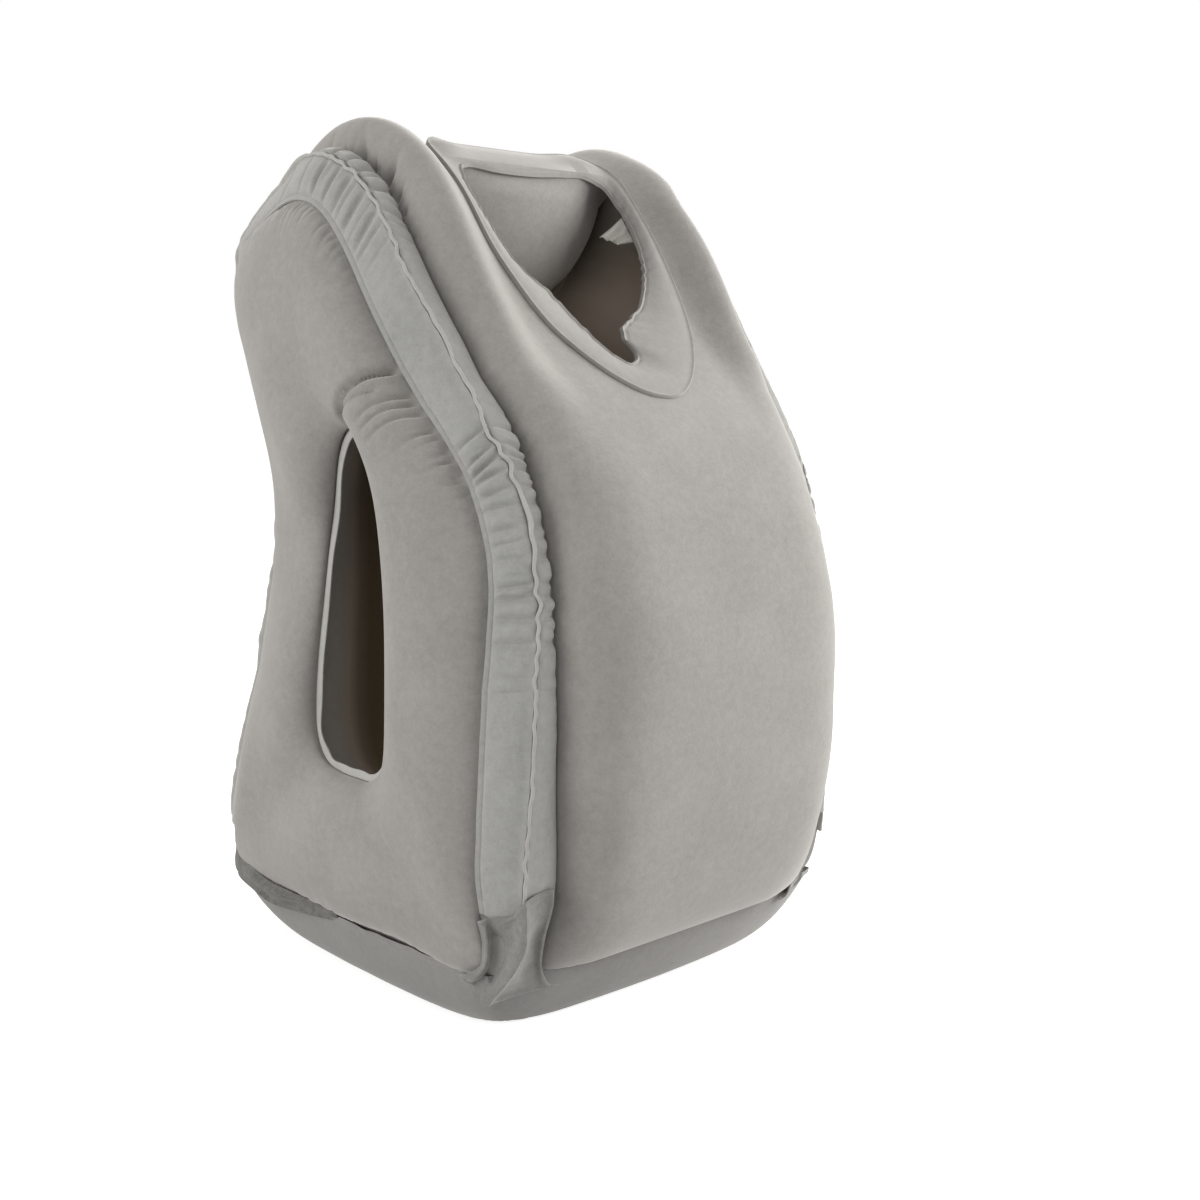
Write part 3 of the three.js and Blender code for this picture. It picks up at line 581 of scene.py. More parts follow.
# The body's inside colours are painted shade: warm browns for the throat and the arm tunnels.
body_flock = flocked_film("flocked_film_body", "#898681", "#9e9b97",
                          inside=("#988c80", "#615440"))
chamber = chamber_mesh(body_flock)
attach(chamber, "root")
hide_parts("air_chamber")


# Base panel: a panel of the same film, welded round the foot of the chamber. Its colours are
# darker than the body's as painted shade for its downward face. It hangs as a shallow dome whose
# depth falls to nothing at its four seams, and lies flat where it rests.
BASE_HALF, BASE_SIDE_BOW = 142.0, 9.0
BASE_FRONT, BASE_BACK, BASE_FRONT_BOW, BASE_BACK_BOW = -127.0, 156.0, 14.0, 8.0
BASE_DEPTH, BASE_EDGE, BASE_FULLNESS = 52.0, 7, 0.62
BASE_TOP, BASE_CELLS = 40.7, 96


def base_outline(s, t):
    """A rectangle with bowed sides, by shares s across and t along it, from -1 to 1."""
    bow = np.where(t < 0, -BASE_FRONT_BOW, BASE_BACK_BOW)
    y = (BASE_FRONT + BASE_BACK) / 2 + t * (BASE_BACK - BASE_FRONT) / 2 + bow * (1 - s * s) * t * t
    return s * (BASE_HALF + BASE_SIDE_BOW * (1 - t * t)), y


def base_mesh(material):
    """The lower face hangs by the depth times ((1 - |s|^7)(1 - |t|^7))^0.62 and stops at the
    ground, and the upper one is flat."""
    steps = np.sin(np.linspace(-np.pi / 2, np.pi / 2, BASE_CELLS + 1))
    s, t = np.meshgrid(steps, steps, indexing="ij")
    x, y = base_outline(s, t)
    full = np.clip((1 - np.abs(s) ** BASE_EDGE) * (1 - np.abs(t) ** BASE_EDGE), 0, None)
    full = full**BASE_FULLNESS
    uneven = 1.2 * wander(x / 17 + y / 29, 31) * wander(y / 19, 32) * (1 - full)
    z = np.maximum(BASE_TOP - BASE_DEPTH * full + uneven * (full > 0), 0)
    lower, upper = points(x, y, z), points(x, y, BASE_TOP)
    n = BASE_CELLS + 1
    number = np.arange(n * n).reshape(n, n)
    above = number + n * n
    for edge in (np.s_[0, :], np.s_[-1, :], np.s_[:, 0], np.s_[:, -1]):
        above[edge] = number[edge]
        lower[edge] = upper[edge]
    under = np.stack([number[:-1, :-1], number[:-1, 1:], number[1:, 1:], number[1:, :-1]], -1)
    over = np.stack([above[1:, :-1], above[1:, 1:], above[:-1, 1:], above[:-1, :-1]], -1)
    place = np.concatenate([lower.reshape(-1, 3), upper.reshape(-1, 3)])
    quads = np.concatenate([under.reshape(-1, 4), over.reshape(-1, 4)])
    return new_piece("base_dome", place, quads, material)


# Darker than the body's film: painted shade for the downward-facing base.
shaded_base_flock = flocked_film("flocked_film_base", "#82807d", "#92908d", sheen=0.7)
base = base_mesh(shaded_base_flock)
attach(base, "root")
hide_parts("base_panel")


# Gusset: each side has two strips of the film over the chamber's chamfer, a wide one behind and a
# narrow one in front. They are ruched, so that folds run across them, and the wide one is held
# along its rear edge by two rows of weld.
GAP = 0.3
FIRST_PLACE, LAST_PLACE = 2 / 3, 16 - 2 / 3
SEAM_ROOM, REAR_ROOM, GROOVE_ROOM = 0.75, 1.0, 1.6
STRIP_CELLS = ((FIRST_PLACE, 2.2, 90), (2.2, 4.8, 350), (4.8, 6.4, 80), (6.4, 9.6, 320),
               (9.6, LAST_PLACE, 220))
STRIP_FILM = 1.2
FRONT_START = 0.84  # the narrow strip ends higher than the wide one at the front corner
STRIP_WIDTH, HEM = 30, 3.6  # the wide strip, and from its rear edge to its inner row of weld
BOX_RISE = 3.2  # how much higher the narrow strip stands over the crown
# How far the standing seam lies behind the chamfer's ridge, in millimetres, at places of the loop
SEAM_PLACES = (0.67, 0.9, 1.2, 1.6, 2.2, 2.4, 2.6, 2.8, 3, 3.2, 3.35, 3.56, 3.74, 3.92, 4.17, 4.39,
               4.67, 5.07, 5.34, 5.93, 6.23, 6.62, 7.18, 7.4, 7.66, 7.92, 8.4, 9, 16)
SEAM_BEHIND = (-0.5, 0, 1, 0.5, 0.6, 1.3, 0.7, 0.6, 0, 0, -0.5, -1.5, -1.5, -0.5, 0, 2, 0.5, 1, 0.1,
               1, 1.5, 1, 1, 1.5, 1, 2, 1, 0, 0)
# Folds right across the gusset: place of the loop, depth, lean and width
ACROSS = {
    "left": ((1.9, 0.5, 0.0, 1.6), (2.5, 0.7, 0.1, 1.5), (2.95, 1.0, -0.1, 1.4),
             (3.15, 0.6, 0.1, 1.3), (3.42, 0.9, 0.0, 1.5), (3.62, 0.8, 0.0, 1.3),
             (3.8, 0.6, -0.1, 1.2), (3.98, 0.9, -0.2, 1.5), (4.3, 0.8, -0.1, 1.4),
             (6.9, 0.6, -0.4, 1.5), (7.15, 0.9, -0.4, 1.5), (7.4, 0.8, -0.4, 1.3),
             (7.7, 1.0, -0.4, 1.5), (8.1, 0.6, -0.2, 1.5), (8.7, 0.6, 0.0, 1.6)),
    "right": ((2.32, 0.6, 0.0, 1.8), (2.37, 0.4, -0.1, 1.2), (2.45, 0.5, 0.1, 1.4),
              (2.7, 1.8, 0.05, 1.8), (2.88, 0.8, 0.1, 1.8), (3.04, 1.3, 0.05, 1.6),
              (3.14, 1.0, 0.0, 1.5), (3.33, 1.3, 0.1, 2.0), (3.47, 0.6, 0.0, 1.4),
              (3.57, 1.4, 0.0, 1.9), (3.73, 1.3, 0.1, 1.7), (3.88, 0.8, -0.1, 1.5),
              (4.02, 1.5, -0.1, 1.7), (4.14, 1.1, -0.3, 1.3), (4.24, 0.7, -0.3, 1.2),
              (4.4, 0.7, -0.2, 1.5), (6.6, 0.4, -0.5, 1.6), (6.82, 0.7, -0.5, 1.4),
              (6.98, 1.6, -0.55, 1.6), (7.12, 0.25, -0.5, 1.2), (7.3, 1.9, -0.5, 1.8),
              (7.48, 0.35, -0.4, 1.3), (7.62, 1.6, -0.4, 1.7), (7.85, 0.7, -0.3, 1.4),
              (8.12, 1.2, -0.2, 1.6), (8.45, 0.4, -0.1, 1.5), (8.9, 0.6, 0.0, 1.6)),
}
HANDS = (("left", np.array([1, 1, 1]), LEFT_SEED), ("right", np.array([-1, 1, 1]), RIGHT_SEED))
strip_places = np.concatenate(
    [np.linspace(a, b, n, endpoint=False) for a, b, n in STRIP_CELLS] + [[LAST_PLACE]])


def seat(place, reach):
    """The chamfer and the way out of it, at so many millimetres behind its ridge, or before it if
    below 0. Two planes meet at the ridge, where the way turns from one to the other over 8 mm."""
    line = edges(place)
    back, front = unit(line["rear"] - line["seam"]), unit(line["seam"] - line["groove"])
    rear_way = unit(GUSSET_IN * points(1, 0, 0) + GUSSET_OUT * line["out"])
    front_way = unit(line["out"] - front * np.sum(front * line["out"], -1, keepdims=True))
    q = reach[..., None]
    point = line["seam"][:, None] + np.where(q > 0, back[:, None], front[:, None]) * q
    turn = ease(-4, 4, q)
    return point, unit(front_way[:, None] * (1 - turn) + rear_way[:, None] * turn)


def seam_line(place, seed):
    """How far the standing seam's foot lies behind the ridge, and how far its top sways."""
    along = run_along(place)
    strength = ruche("strip", place, along, seed + 1)
    sway = (0.27 + 0.36 * strength) * wander(along / 3.4, seed + 3)
    return np.interp(place, SEAM_PLACES, SEAM_BEHIND) + 0.6 * sway, sway


def sheet_mesh(name, lower, way, thickness, material, closed=False):
    """A sheet from the points of its lower face, line by line, and the way its upper face lies.
    Both faces are joined round the edges; the lines may close on themselves."""
    thick = np.asarray(thickness, float)
    thick = thick[..., None] if thick.ndim else thick
    loop = np.concatenate([lower, (lower + way * thick)[:, ::-1]], 1)
    lines, width = loop.shape[:2]
    number = np.arange(lines * width).reshape(lines, width)
    rows = np.concatenate([number, number[:1]]) if closed else number
    quads = [quads_between(rows)]
    if not closed:
        k = np.arange(width // 2 - 1)
        far = width - 1 - k
        for row, order in ((number[0], (0, 1, 2, 3)), (number[-1], (0, 3, 2, 1))):
            corners = np.stack([row[k], row[k + 1], row[far - 1], row[far]], -1)
            quads.append(corners[:, order])
    return new_piece(name, loop.reshape(-1, 3), np.concatenate(quads), material)


def valleys(hand, place, along, away, small):
    """How closed the film is, from 0 to 1, by 1 - exp(-1.6 sum): the small folds given, and those
    right across the gusset, each its depth times exp(-(offset / width)^1.3)."""
    total = small
    for spot, depth, lean, width in ACROSS[hand]:
        offset = np.abs(along[:, None] - run_along(np.array(spot)) - lean * away)
        total = total + depth * np.exp(-(offset / width) ** 1.3)
    return 1 - np.exp(-1.6 * total)


def beside_seam(away, shut):
    """The film's turn up beside the standing seam: 1.5 mm, gone within a few millimetres."""
    return 1.5 * np.exp(-away / 1.1) * (1 - 0.5 * shut)


def rear_strip(mirror, hand, seed, name):
    """The wide strip. Film comes up beside the standing seam, puffs by a root of a sine between
    the valleys of its folds, and lies flat beyond the inner row of weld."""
    hem = 1 - HEM / STRIP_WIDTH
    w = np.concatenate([np.linspace(0, 0.08, 4), np.linspace(0.08, hem - 0.03, 16)[1:],
                        np.linspace(hem - 0.03, hem + 0.03, 7)[1:], [0.96, 0.985, 1]])[None, :]
    place = strip_places
    line, along, (foot, _) = edges(place), run_along(place), seam_line(place, seed)
    start = (foot + SEAM_ROOM)[:, None]
    end = np.linalg.norm(line["rear"] - line["seam"], axis=-1)[:, None] - REAR_ROOM
    away = (end - start) * w
    flat, way = seat(place, start + away)
    strength = ruche("strip", place, along, seed + 1)[:, None]
    small = 0.3 * strength * drawn_in(along, away, fold_spots(seed + 2, STRIP_RUN, 13))
    small += 0.4 * strength * drawn_in(along, np.abs(away[:, -1:] - HEM - away),
                                       fold_spots(seed + 3, STRIP_RUN, 15))
    shut = valleys(hand, place, along, away, small)
    puff = np.sin(np.pi * np.clip(w / hem, 0, 1)) ** 0.55
    rise = GAP + 0.4 + (1.2 + 4.2 * strength) * puff * (1 - 0.95 * shut)
    rise += beside_seam(away, shut)
    rise -= 0.5 * np.exp(-((away[:, -1:] - HEM - away) / 0.7) ** 2)
    lower = flat + way * np.clip(rise, GAP, None)[..., None]
    return sheet_mesh(name, tucked(lower * mirror), way * mirror, STRIP_FILM, gusset_flock)


def front_strip(mirror, hand, seed, name):
    """The narrow strip, over the ridge and down to the groove: its folds draw its edge in, and
    over the crown it stands up in boxes between them."""
    w = np.linspace(0, 1, 14)[None, :]
    place = strip_places[strip_places >= FRONT_START]
    line, along, (foot, _) = edges(place), run_along(place), seam_line(place, seed)
    start = (foot - SEAM_ROOM)[:, None]
    end = GROOVE_ROOM - np.linalg.norm(line["groove"] - line["seam"], axis=-1)[:, None]
    away = (start - end) * w
    strength = ruche("strip", place, along, seed + 1)[:, None]
    small = 0.5 * strength * drawn_in(along, away[:, -1:] - away,
                                      fold_spots(seed + 4, STRIP_RUN, 14))
    shut = valleys(hand, place, along, away, small)
    scallop = 1 - 0.2 * shut[:, -1:] * np.clip(strength, 0, 1)
    flat, way = seat(place, start - away * scallop)
    boxes = BOX_RISE * (ease(6.9, 7.3, place) * (1 - ease(8.2, 8.7, place)))[:, None]
    rise = GAP + 0.3 + (1.3 + 2.6 * strength + boxes) * np.sin(np.pi * w) ** 0.5 * (1 - 0.92 * shut)
    rise = rise + beside_seam(away, shut)
    lower = flat + way * np.clip(rise, GAP, None)[..., None]
    return sheet_mesh(name, tucked(lower * mirror), way * mirror, STRIP_FILM, gusset_flock)


# Standing seam: the raw edges of the two strips, welded together and left standing. It is thin,
# bright along its cut edge, and waves from side to side where the strips are gathered. On the +x
# side it lies lower.
FIN_HEIGHT, FIN_FILM = {"left": 3.0, "right": 5.8}, 1.8


def standing_seam(mirror, hand, seed, name):
    """A ribbon up from the seam, tilted from side to side by a wave that grows towards its top,
    and rounded off along its cut edge."""
    h = np.array([0, 0.25, 0.5, 0.7, 0.84, 0.94, 1])[None, :]
    foot, sway = seam_line(strip_places, seed)
    along = run_along(strip_places)
    low, up = seat(strip_places, foot[:, None])
    across = unit(points(1, 0, 0) - up * up[..., :1])
    tall = FIN_HEIGHT[hand] * (0.92 + 0.13 * wander(along / 13, seed + 4))[:, None]
    middle = low + up * (GAP + tall * h)[..., None]
    middle += across * (0.5 * sway[:, None] * h**1.5)[..., None]
    film = FIN_FILM * np.sqrt(np.clip(1 - ((h - 0.8) / 0.22).clip(0, None) ** 2, 0.08, 1))
    film = film * (0.75 + 0.5 * ease(0.4, 0.8, h)) * np.ones(middle.shape[:2])
    lower = middle - across * film[..., None] / 2
    return sheet_mesh(name, tucked(lower * mirror), across * mirror, film, cut_edge)


gusset_flock = flocked_film("flocked_film_gusset", "#90908c", "#a8a7a3")
cut_edge = flocked_film("pressed_film_edge", "#a5a39e", "#b5b3ae", sheen=0.6)
strip_length = float(run_along(np.array(LAST_PLACE)) - run_along(np.array(FIRST_PLACE))) * MM
for hand, mirror, seed in HANDS:
    for make, stem, width in ((rear_strip, "gusset_rear_strip", 0.031),
                              (front_strip, "gusset_front_strip", 0.014),
                              (standing_seam, "gusset_standing_seam", None)):
        piece = make(mirror, hand, seed, f"{stem}_{hand}_film")
        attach(piece, "root")
        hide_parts(f"{stem}_{hand}")


# Arm opening lip: the pressed weld where the side panel meets the tunnel, a narrow pale edge that
# stands inside each mouth.
LIP_DEPTH, LIP_WIDTH, LIP_FILM = 2.0, 4.5, 1.5
lip_places = np.linspace(0, COUNT, 300, endpoint=False)


def arm_lip(mirror, name):
    """A flat ring just inside the mouth, square to the tunnel, that thins towards its free edge."""
    w = np.linspace(0, 1, 7)[None, :]
    rim = edges(lip_places)["rim"]
    run = edges(lip_places + 0.05)["rim"] - edges(lip_places - 0.05)["rim"]
    inwards = unit(points(0, run[:, 2], -run[:, 1]))
    foot = rim - [LIP_DEPTH + LIP_FILM, 0, 0]
    reach = LIP_WIDTH * (1 + 0.12 * wander(lip_places * 1.5, 41))[:, None] * w
    lower = foot[:, None] + inwards[:, None] * reach[..., None]
    lower[..., 0] += 0.5 * w * wander(lip_places * 2, 42)[:, None]
    thick = LIP_FILM * (1 - 0.5 * w**3) * np.ones_like(reach)
    return sheet_mesh(name, lower * mirror, points(1, 0, 0) * mirror, thick, cut_edge, closed=True)


for hand, mirror, _ in HANDS:
    lip = arm_lip(mirror, f"arm_opening_lip_{hand}_weld")
    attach(lip, "root")
    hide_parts(f"arm_opening_lip_{hand}")


# Face collar: a flat flange of doubled film on the edge of the face opening, pressed into a bead
# round its outer edge and hemmed round its free one. Its lower end has a keyhole notch with a nub
# on one side. Millimetres up the slope and across it, for both edges, from the lower end round by
# +x to the rear; the -x side has its own figures.
COLLAR = {
    "low_middle": ((0, 0), (30, -5)),
    "low_left": ((2, 14), (33, 3)),
    "notch_foot": ((9, 27), (40, 7)),
    "notch_neck": ((20, 40), (49, 5)),
    "notch_nub": ((34, 52), (58, 8)),
    "left_low": ((52, 63), (67, 21)),
    "left_middle": ((79, 71), (81, 39)),
    "left_wide": ((118, 74), (112, 57)),
    "left_high": ((160, 74), (150, 64)),
    "left_rear": ((194, 75), (180, 63)),
    "rear_left": ((217, 60), (189.5, 50)),
    "rear_inner": ((224, 34), (189.2, 30)),
    "rear_middle": ((224, 0), (187.2, 3)),
}
COLLAR_RIGHT = {
    "low_left": ((3, -15), (33, -9)),
    "notch_foot": ((11, -28), (40, -15)),
    "notch_neck": ((23, -39), (50, -20)),
    "notch_nub": ((36, -47), (60, -25)),
    "left_low": ((55, -57), (70, -30)),
    "left_middle": ((80, -65), (84, -37)),
    "left_wide": ((118, -73), (108, -54)),
    "left_high": ((160, -74), (148, -61)),
    "left_rear": ((194, -75), (180, -58)),
    "rear_left": ((215, -62), (188.5, -50)),
    "rear_inner": ((223, -34), (187, -25)),
}
SLOPE_FOOT, SLOPE_STEP = 4.46, 59.6
COLLAR_DROP, COLLAR_ROOM, COLLAR_FILM, EDGE_SHARE, CORNER_TENT = 5.0, 0.35, 1.5, 0.2, 4.5
COLLAR_LINES, COLLAR_BEAD, COLLAR_PRESSED = 560, 0.9, 0.7  # bead and pressed line, in millimetres


def between(a, b, c, d, f):
    """A uniform Catmull-Rom curve from b to c, at shares f, with a before it and d after it."""
    return (b + f * (c - a) / 2 + f**2 * (a - 2.5 * b + 2 * c - d / 2)
            + f**3 * (1.5 * b - a / 2 - 1.5 * c + d / 2))


def closed_curve(corners, t):
    """A closed curve through the corners, at shares t of its length."""
    turn = t * len(corners)
    i = np.floor(turn).astype(int)
    return between(*(corners[(i + k) % len(corners)] for k in (-1, 0, 1, 2)), (turn - i)[:, None])


def collar_mesh(material):
    """Across the collar, its outer fifth lies on the wrap, tented over the rear corners, and the
    rest bridges the opening and sags to the free edge, which hangs lower along the arms than at
    the rear. The film has a bead at both edges, and a pressed line 3 mm in from the free one."""
    names = list(COLLAR)
    there = [COLLAR_RIGHT.get(n, [(p[0], -p[1]) for p in COLLAR[n]]) for n in names[-2:0:-1]]
    pairs = [COLLAR[n] for n in names] + there
    t = np.arange(COLLAR_LINES) / COLLAR_LINES
    outer, inner = (closed_curve(np.array([p[k] for p in pairs], float), t) for k in (0, 1))
    run = np.cumsum(np.linalg.norm(inner - np.roll(inner, 1, 0), axis=1))
    waves = np.stack([wander(run / 3, 61), wander(run / 2.6, 62)], -1)
    still = ease(0, 12, run) * ease(0, 12, run[-1] - run) * (1 - ease(170, 184, inner[:, 0]))
    inner = inner + 0.55 * waves * still[:, None]
    edge = outer + (inner - outer) * EDGE_SHARE
    edge_place = np.clip(SLOPE_FOOT + edge[:, 0] / SLOPE_STEP, OPENING_LOW, OPENING_REAR)
    half, edge_slope = opening_half(edge_place), (edge_place - SLOPE_FOOT) * SLOPE_STEP
    edge_x = np.clip(edge[:, 1], -half, half)
    weld_place = SLOPE_FOOT + outer[:, 0] / SLOPE_STEP
    out = edges(weld_place)["out"]
    free = wrap_at(SLOPE_FOOT + inner[:, 0] / SLOPE_STEP, np.zeros(COLLAR_LINES))
    free[:, 0] = inner[:, 1]
    rear = ease(170, 186, inner[:, 0])
    drop = np.interp(inner[:, 0], (186, 190), (2.8, 1.1))
    free -= out * (drop * rear + COLLAR_DROP * (1 - rear))[:, None]
    lines = []
    for c in np.array([0, 0.02, 0.05, 0.09, 0.14, 0.2, 0.3, 0.45, 0.65, 1.0]):
        flange = wrap_at(weld_place + (edge_place - weld_place) * c,
                         outer[:, 1] + (edge_x - outer[:, 1]) * c)
        across, slope = np.abs(flange[:, 0]), outer[:, 0] * (1 - c) + edge_slope * c
        tent = CORNER_TENT * np.exp(-((across - 58) / 15) ** 2) * ease(189, 206, slope)
        lines.append(flange + out * (COLLAR_ROOM + 0.5 * c + tent * (0.6 + 0.4 * c))[:, None])
    ridge = lines[-1]
    for c in 1 - (1 - np.linspace(0, 1, 23)[1:]) ** 1.7:
        sag = 1.2 * np.sin(np.pi * c) * (1 - c)
        lines.append(ridge + (free - ridge) * c + out * sag)
    lower = np.stack(lines, 1)
    steps = np.linalg.norm(np.diff(lower, axis=1, prepend=lower[:, :1]), axis=-1)
    outside = np.cumsum(steps, 1)
    inside = outside[:, -1:] - outside
    thick = COLLAR_FILM + COLLAR_BEAD * np.exp(-((outside - 1.1) / 0.9) ** 2)
    thick += COLLAR_BEAD * np.exp(-((inside - 0.9) / 0.9) ** 2)
    thick -= COLLAR_PRESSED * np.exp(-((inside - 3.1) / 0.8) ** 2)
    thick *= 1 - 0.65 * np.exp(-(inside / 0.35) ** 2) - 0.65 * np.exp(-(outside / 0.35) ** 2)
    return sheet_mesh("face_collar_film", lower, out[:, None], thick, material, closed=True)


collar_flock = flocked_film("flocked_film_collar", "#918e8a", "#a19e9a", sheen=0.5)
collar = collar_mesh(collar_flock)
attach(collar, "root")
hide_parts("face_collar")


# Base seam edge: the pressed edges of the base panel and the chamber, left standing outside the
# weld that joins them. It is one thin wavy ribbon all the way round, turned up under the sides.
def base_seam(material):
    """The pressed edge of the seam round the base: a thin ribbon along the rim. It stands out
    most beside the front ears, and under the sides it turns up into the gap."""
    t = np.linspace(-1, 1, 120, endpoint=False)
    one = np.ones_like(t)
    s = np.concatenate([t, one, -t, -one])
    x, y = base_outline(s, np.concatenate([-one, t, one, -t]))
    rim = points(x, y, BASE_TOP - 0.4)
    run = np.roll(rim, -4, 0) - np.roll(rim, 4, 0)
    outwards = unit(points(run[:, 1], -run[:, 0], 0))
    along = np.cumsum(np.linalg.norm(rim - np.roll(rim, 1, 0), axis=-1))
    along = along * 2 * np.pi / along[-1]
    beside = np.exp(-((np.abs(x) - 105) / 26) ** 2) * (y < 0)
    reach = 1.5 + 2.8 * beside + 0.3 * np.sin(19 * along) + 0.25 * np.sin(61 * along)
    lift = 0.3 * np.sin(37 * along + 2) + 0.4 + 3.8 * ease(0.8, 1, np.abs(s))
    w = np.linspace(-0.6, 1, 7)[None, :]
    lower = rim[:, None] + outwards[:, None] * (reach[:, None] * w)[..., None]
    lower[..., 2] += lift[:, None] * np.clip(w, 0, None) ** 2
    film = 1.3 * np.sqrt(np.clip(1 - np.clip((w - 0.5) / 0.55, 0, None) ** 2, 0.1, 1))
    film = film * np.ones(lower.shape[:2])
    return sheet_mesh("base_seam_edge", lower, points(0, 0, 1), film, material, closed=True)


# The seam edge takes the base panel's colours, darkened as painted shade.
rim = base_seam(shaded_base_flock)
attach(rim, "root")


# Corner ears: the gusset's welded ends, folded down over the base seam. At the front each has a
# leaf either side of the standing seam, the rear one with a deep fold; at the back it is crushed
# flat and laid forward under the side panel. Rows go down, columns from behind the seam to before
# it, and the ear on the +x side is tucked in closer.
EARS = {
    "front_right": (
        ((150, -129, 80), (150, -134, 82), (147, -138, 84), (142, -149, 86), (140, -157, 95),
         (125, -153, 97), (116, -155, 98)),
        ((149, -131, 72), (149, -135, 74), (143, -133, 70), (140, -145, 76), (139, -157, 82),
         (124, -151, 83), (115, -152, 85)),
        ((148, -131, 65), (148, -135, 64), (141, -129, 59), (139, -142, 64), (139, -155, 69),
         (124, -145, 68), (117, -148, 67)),
        ((147, -127, 52), (148, -132, 53), (139, -127, 50), (139, -138, 53), (140, -148, 55),
         (123, -141, 51), (116, -144, 48)),
        ((150, -117, 45), (149, -124, 44), (141, -122, 42), (140, -131, 42), (141, -138, 42),
         (122, -136, 39), (105, -137, 33)),
        ((148, -106, 42), (148, -112, 39), (143, -113, 36), (141, -118, 31), (139, -121, 25),
         (121, -130, 29), (96, -136, 30)),
    ),
    "front_left": (
        ((147, -130, 80), (147, -133, 82), (145, -136, 84), (139, -143, 86), (132, -146, 92),
         (123, -146, 95), (116, -147, 97)),
        ((146, -130, 72), (146, -133, 73), (143, -133, 70), (136, -141, 75), (130, -144, 80),
         (122, -143, 82), (115, -145, 84)),
        ((145, -129, 65), (145, -132, 64), (142, -131, 59), (135, -137, 63), (130, -141, 67),
         (121, -140, 67), (114, -142, 67)),
        ((144, -126, 54), (144, -128, 54), (141, -128, 51), (136, -132, 53), (132, -136, 54),
         (121, -138, 51), (113, -140, 49)),
        ((145, -118, 46), (144, -123, 45), (140, -124, 42), (138, -129, 43), (135, -132, 43),
         (121, -135, 40), (108, -138, 37)),
        ((144, -110, 42), (143, -115, 40), (140, -118, 37), (137, -121, 35), (134, -124, 33),
         (120, -131, 33), (102, -136, 34)),
    ),
    "back_right": (
        ((150, 14, 46), (153, 42, 48), (155, 67, 49), (154, 94, 49), (151, 118, 52),
         (147, 140, 58), (137, 158, 66), (124, 158, 70)),
        ((151, 13, 45), (154, 42, 46), (158, 67, 45), (158, 93, 44), (154, 119, 47),
         (149, 143, 51), (139, 161, 54), (125, 162, 55)),
        ((151, 14, 43), (154, 47, 41), (153, 73, 39), (151, 98, 38), (151, 123, 40),
         (148, 146, 43), (139, 162, 44), (126, 165, 46)),
        ((151, 18, 41), (153, 56, 37), (152, 82, 33), (151, 102, 32), (148, 124, 34),
         (145, 146, 36), (137, 161, 36), (127, 166, 38)),
    ),
    "back_left": (
        ((152, 64, 48), (153, 80, 49), (153, 96, 50), (152, 108, 51), (150, 122, 53),
         (147, 140, 58), (137, 158, 66), (124, 158, 70)),
        ((154, 64, 46), (155, 80, 45), (155, 96, 46), (154, 108, 46), (152, 122, 48),
         (149, 143, 51), (139, 161, 54), (125, 162, 55)),
        ((154, 65, 44), (154, 80, 41), (154, 96, 40), (153, 109, 40), (151, 124, 41),
         (148, 146, 43), (139, 162, 44), (126, 165, 46)),
        ((153, 66, 42), (152, 80, 38), (151, 96, 35), (150, 110, 34), (148, 125, 35),
         (145, 146, 36), (137, 161, 36), (127, 166, 38)),
    ),
}
EAR_CELLS = {"front": (9, 9), "back": (12, 12)}
CRUSH = {"front": 0.4, "back": 3.0}
SEAM_COLUMN = 4  # the column of a front ear's corners that follows the standing seam


def open_curves(corners, cells):
    """Open curves through rows of corners, with so many cells from one to the next."""
    n = len(corners)
    padded = np.concatenate([2 * corners[:1] - corners[1:2], corners,
                             2 * corners[-1:] - corners[-2:-1]])
    turn = np.linspace(0, n - 1, (n - 1) * cells + 1)
    i = np.minimum(turn.astype(int), n - 2)
    f = (turn - i).reshape((-1,) + (1,) * (corners.ndim - 1))
    return between(*(padded[i + k] for k in range(4)), f)


def ear_mesh(where, hand, mirror, name):
    """The grid of an ear's corners made smooth both ways, crushed by small folds that run the
    ear's long way, with the seam's bead down a front ear and a pressed edge all round."""
    corners = np.array(EARS[f"{where}_{hand}"], float)
    down, over = EAR_CELLS[where]
    grid = open_curves(open_curves(corners, down).swapaxes(0, 1), over).swapaxes(0, 1)
    normal = normals_of(grid, False)
    normal *= np.sign(np.sum(normal * points(1, 0, 0)) or 1.0)
    t = np.linspace(0, 1, grid.shape[0])[:, None]
    s = np.arange(grid.shape[1])[None, :]
    if where == "front":
        crush = wander(grid[..., 0] / 3 + grid[..., 1] / 4, 71) * wander(grid[..., 2] / 9, 72)
        bead = 1.8 * np.exp(-((s - SEAM_COLUMN * over) / 1.1) ** 2) * np.ones_like(t)
    else:
        crush = wander(grid[..., 2] / 3 + grid[..., 1] / 26, 73) * wander(grid[..., 1] / 13, 74)
        bead = np.zeros(grid.shape[:2])
    push = CRUSH[where] * crush * ease(0, 0.3, t) * ease(0, 0.2, 1 - t)
    grid = grid + normal * push[..., None]
    edge = np.minimum(np.minimum(t, 1 - t) * grid.shape[0],
                      np.minimum(s, s[:, ::-1]) * 1.0)
    film = STRIP_FILM * (0.55 + 0.65 * np.exp(-((edge - 1.6) / 1.4) ** 2)) + bead
    return sheet_mesh(name, tucked(grid * mirror), normal * mirror, film, ear_shade_flock[where])


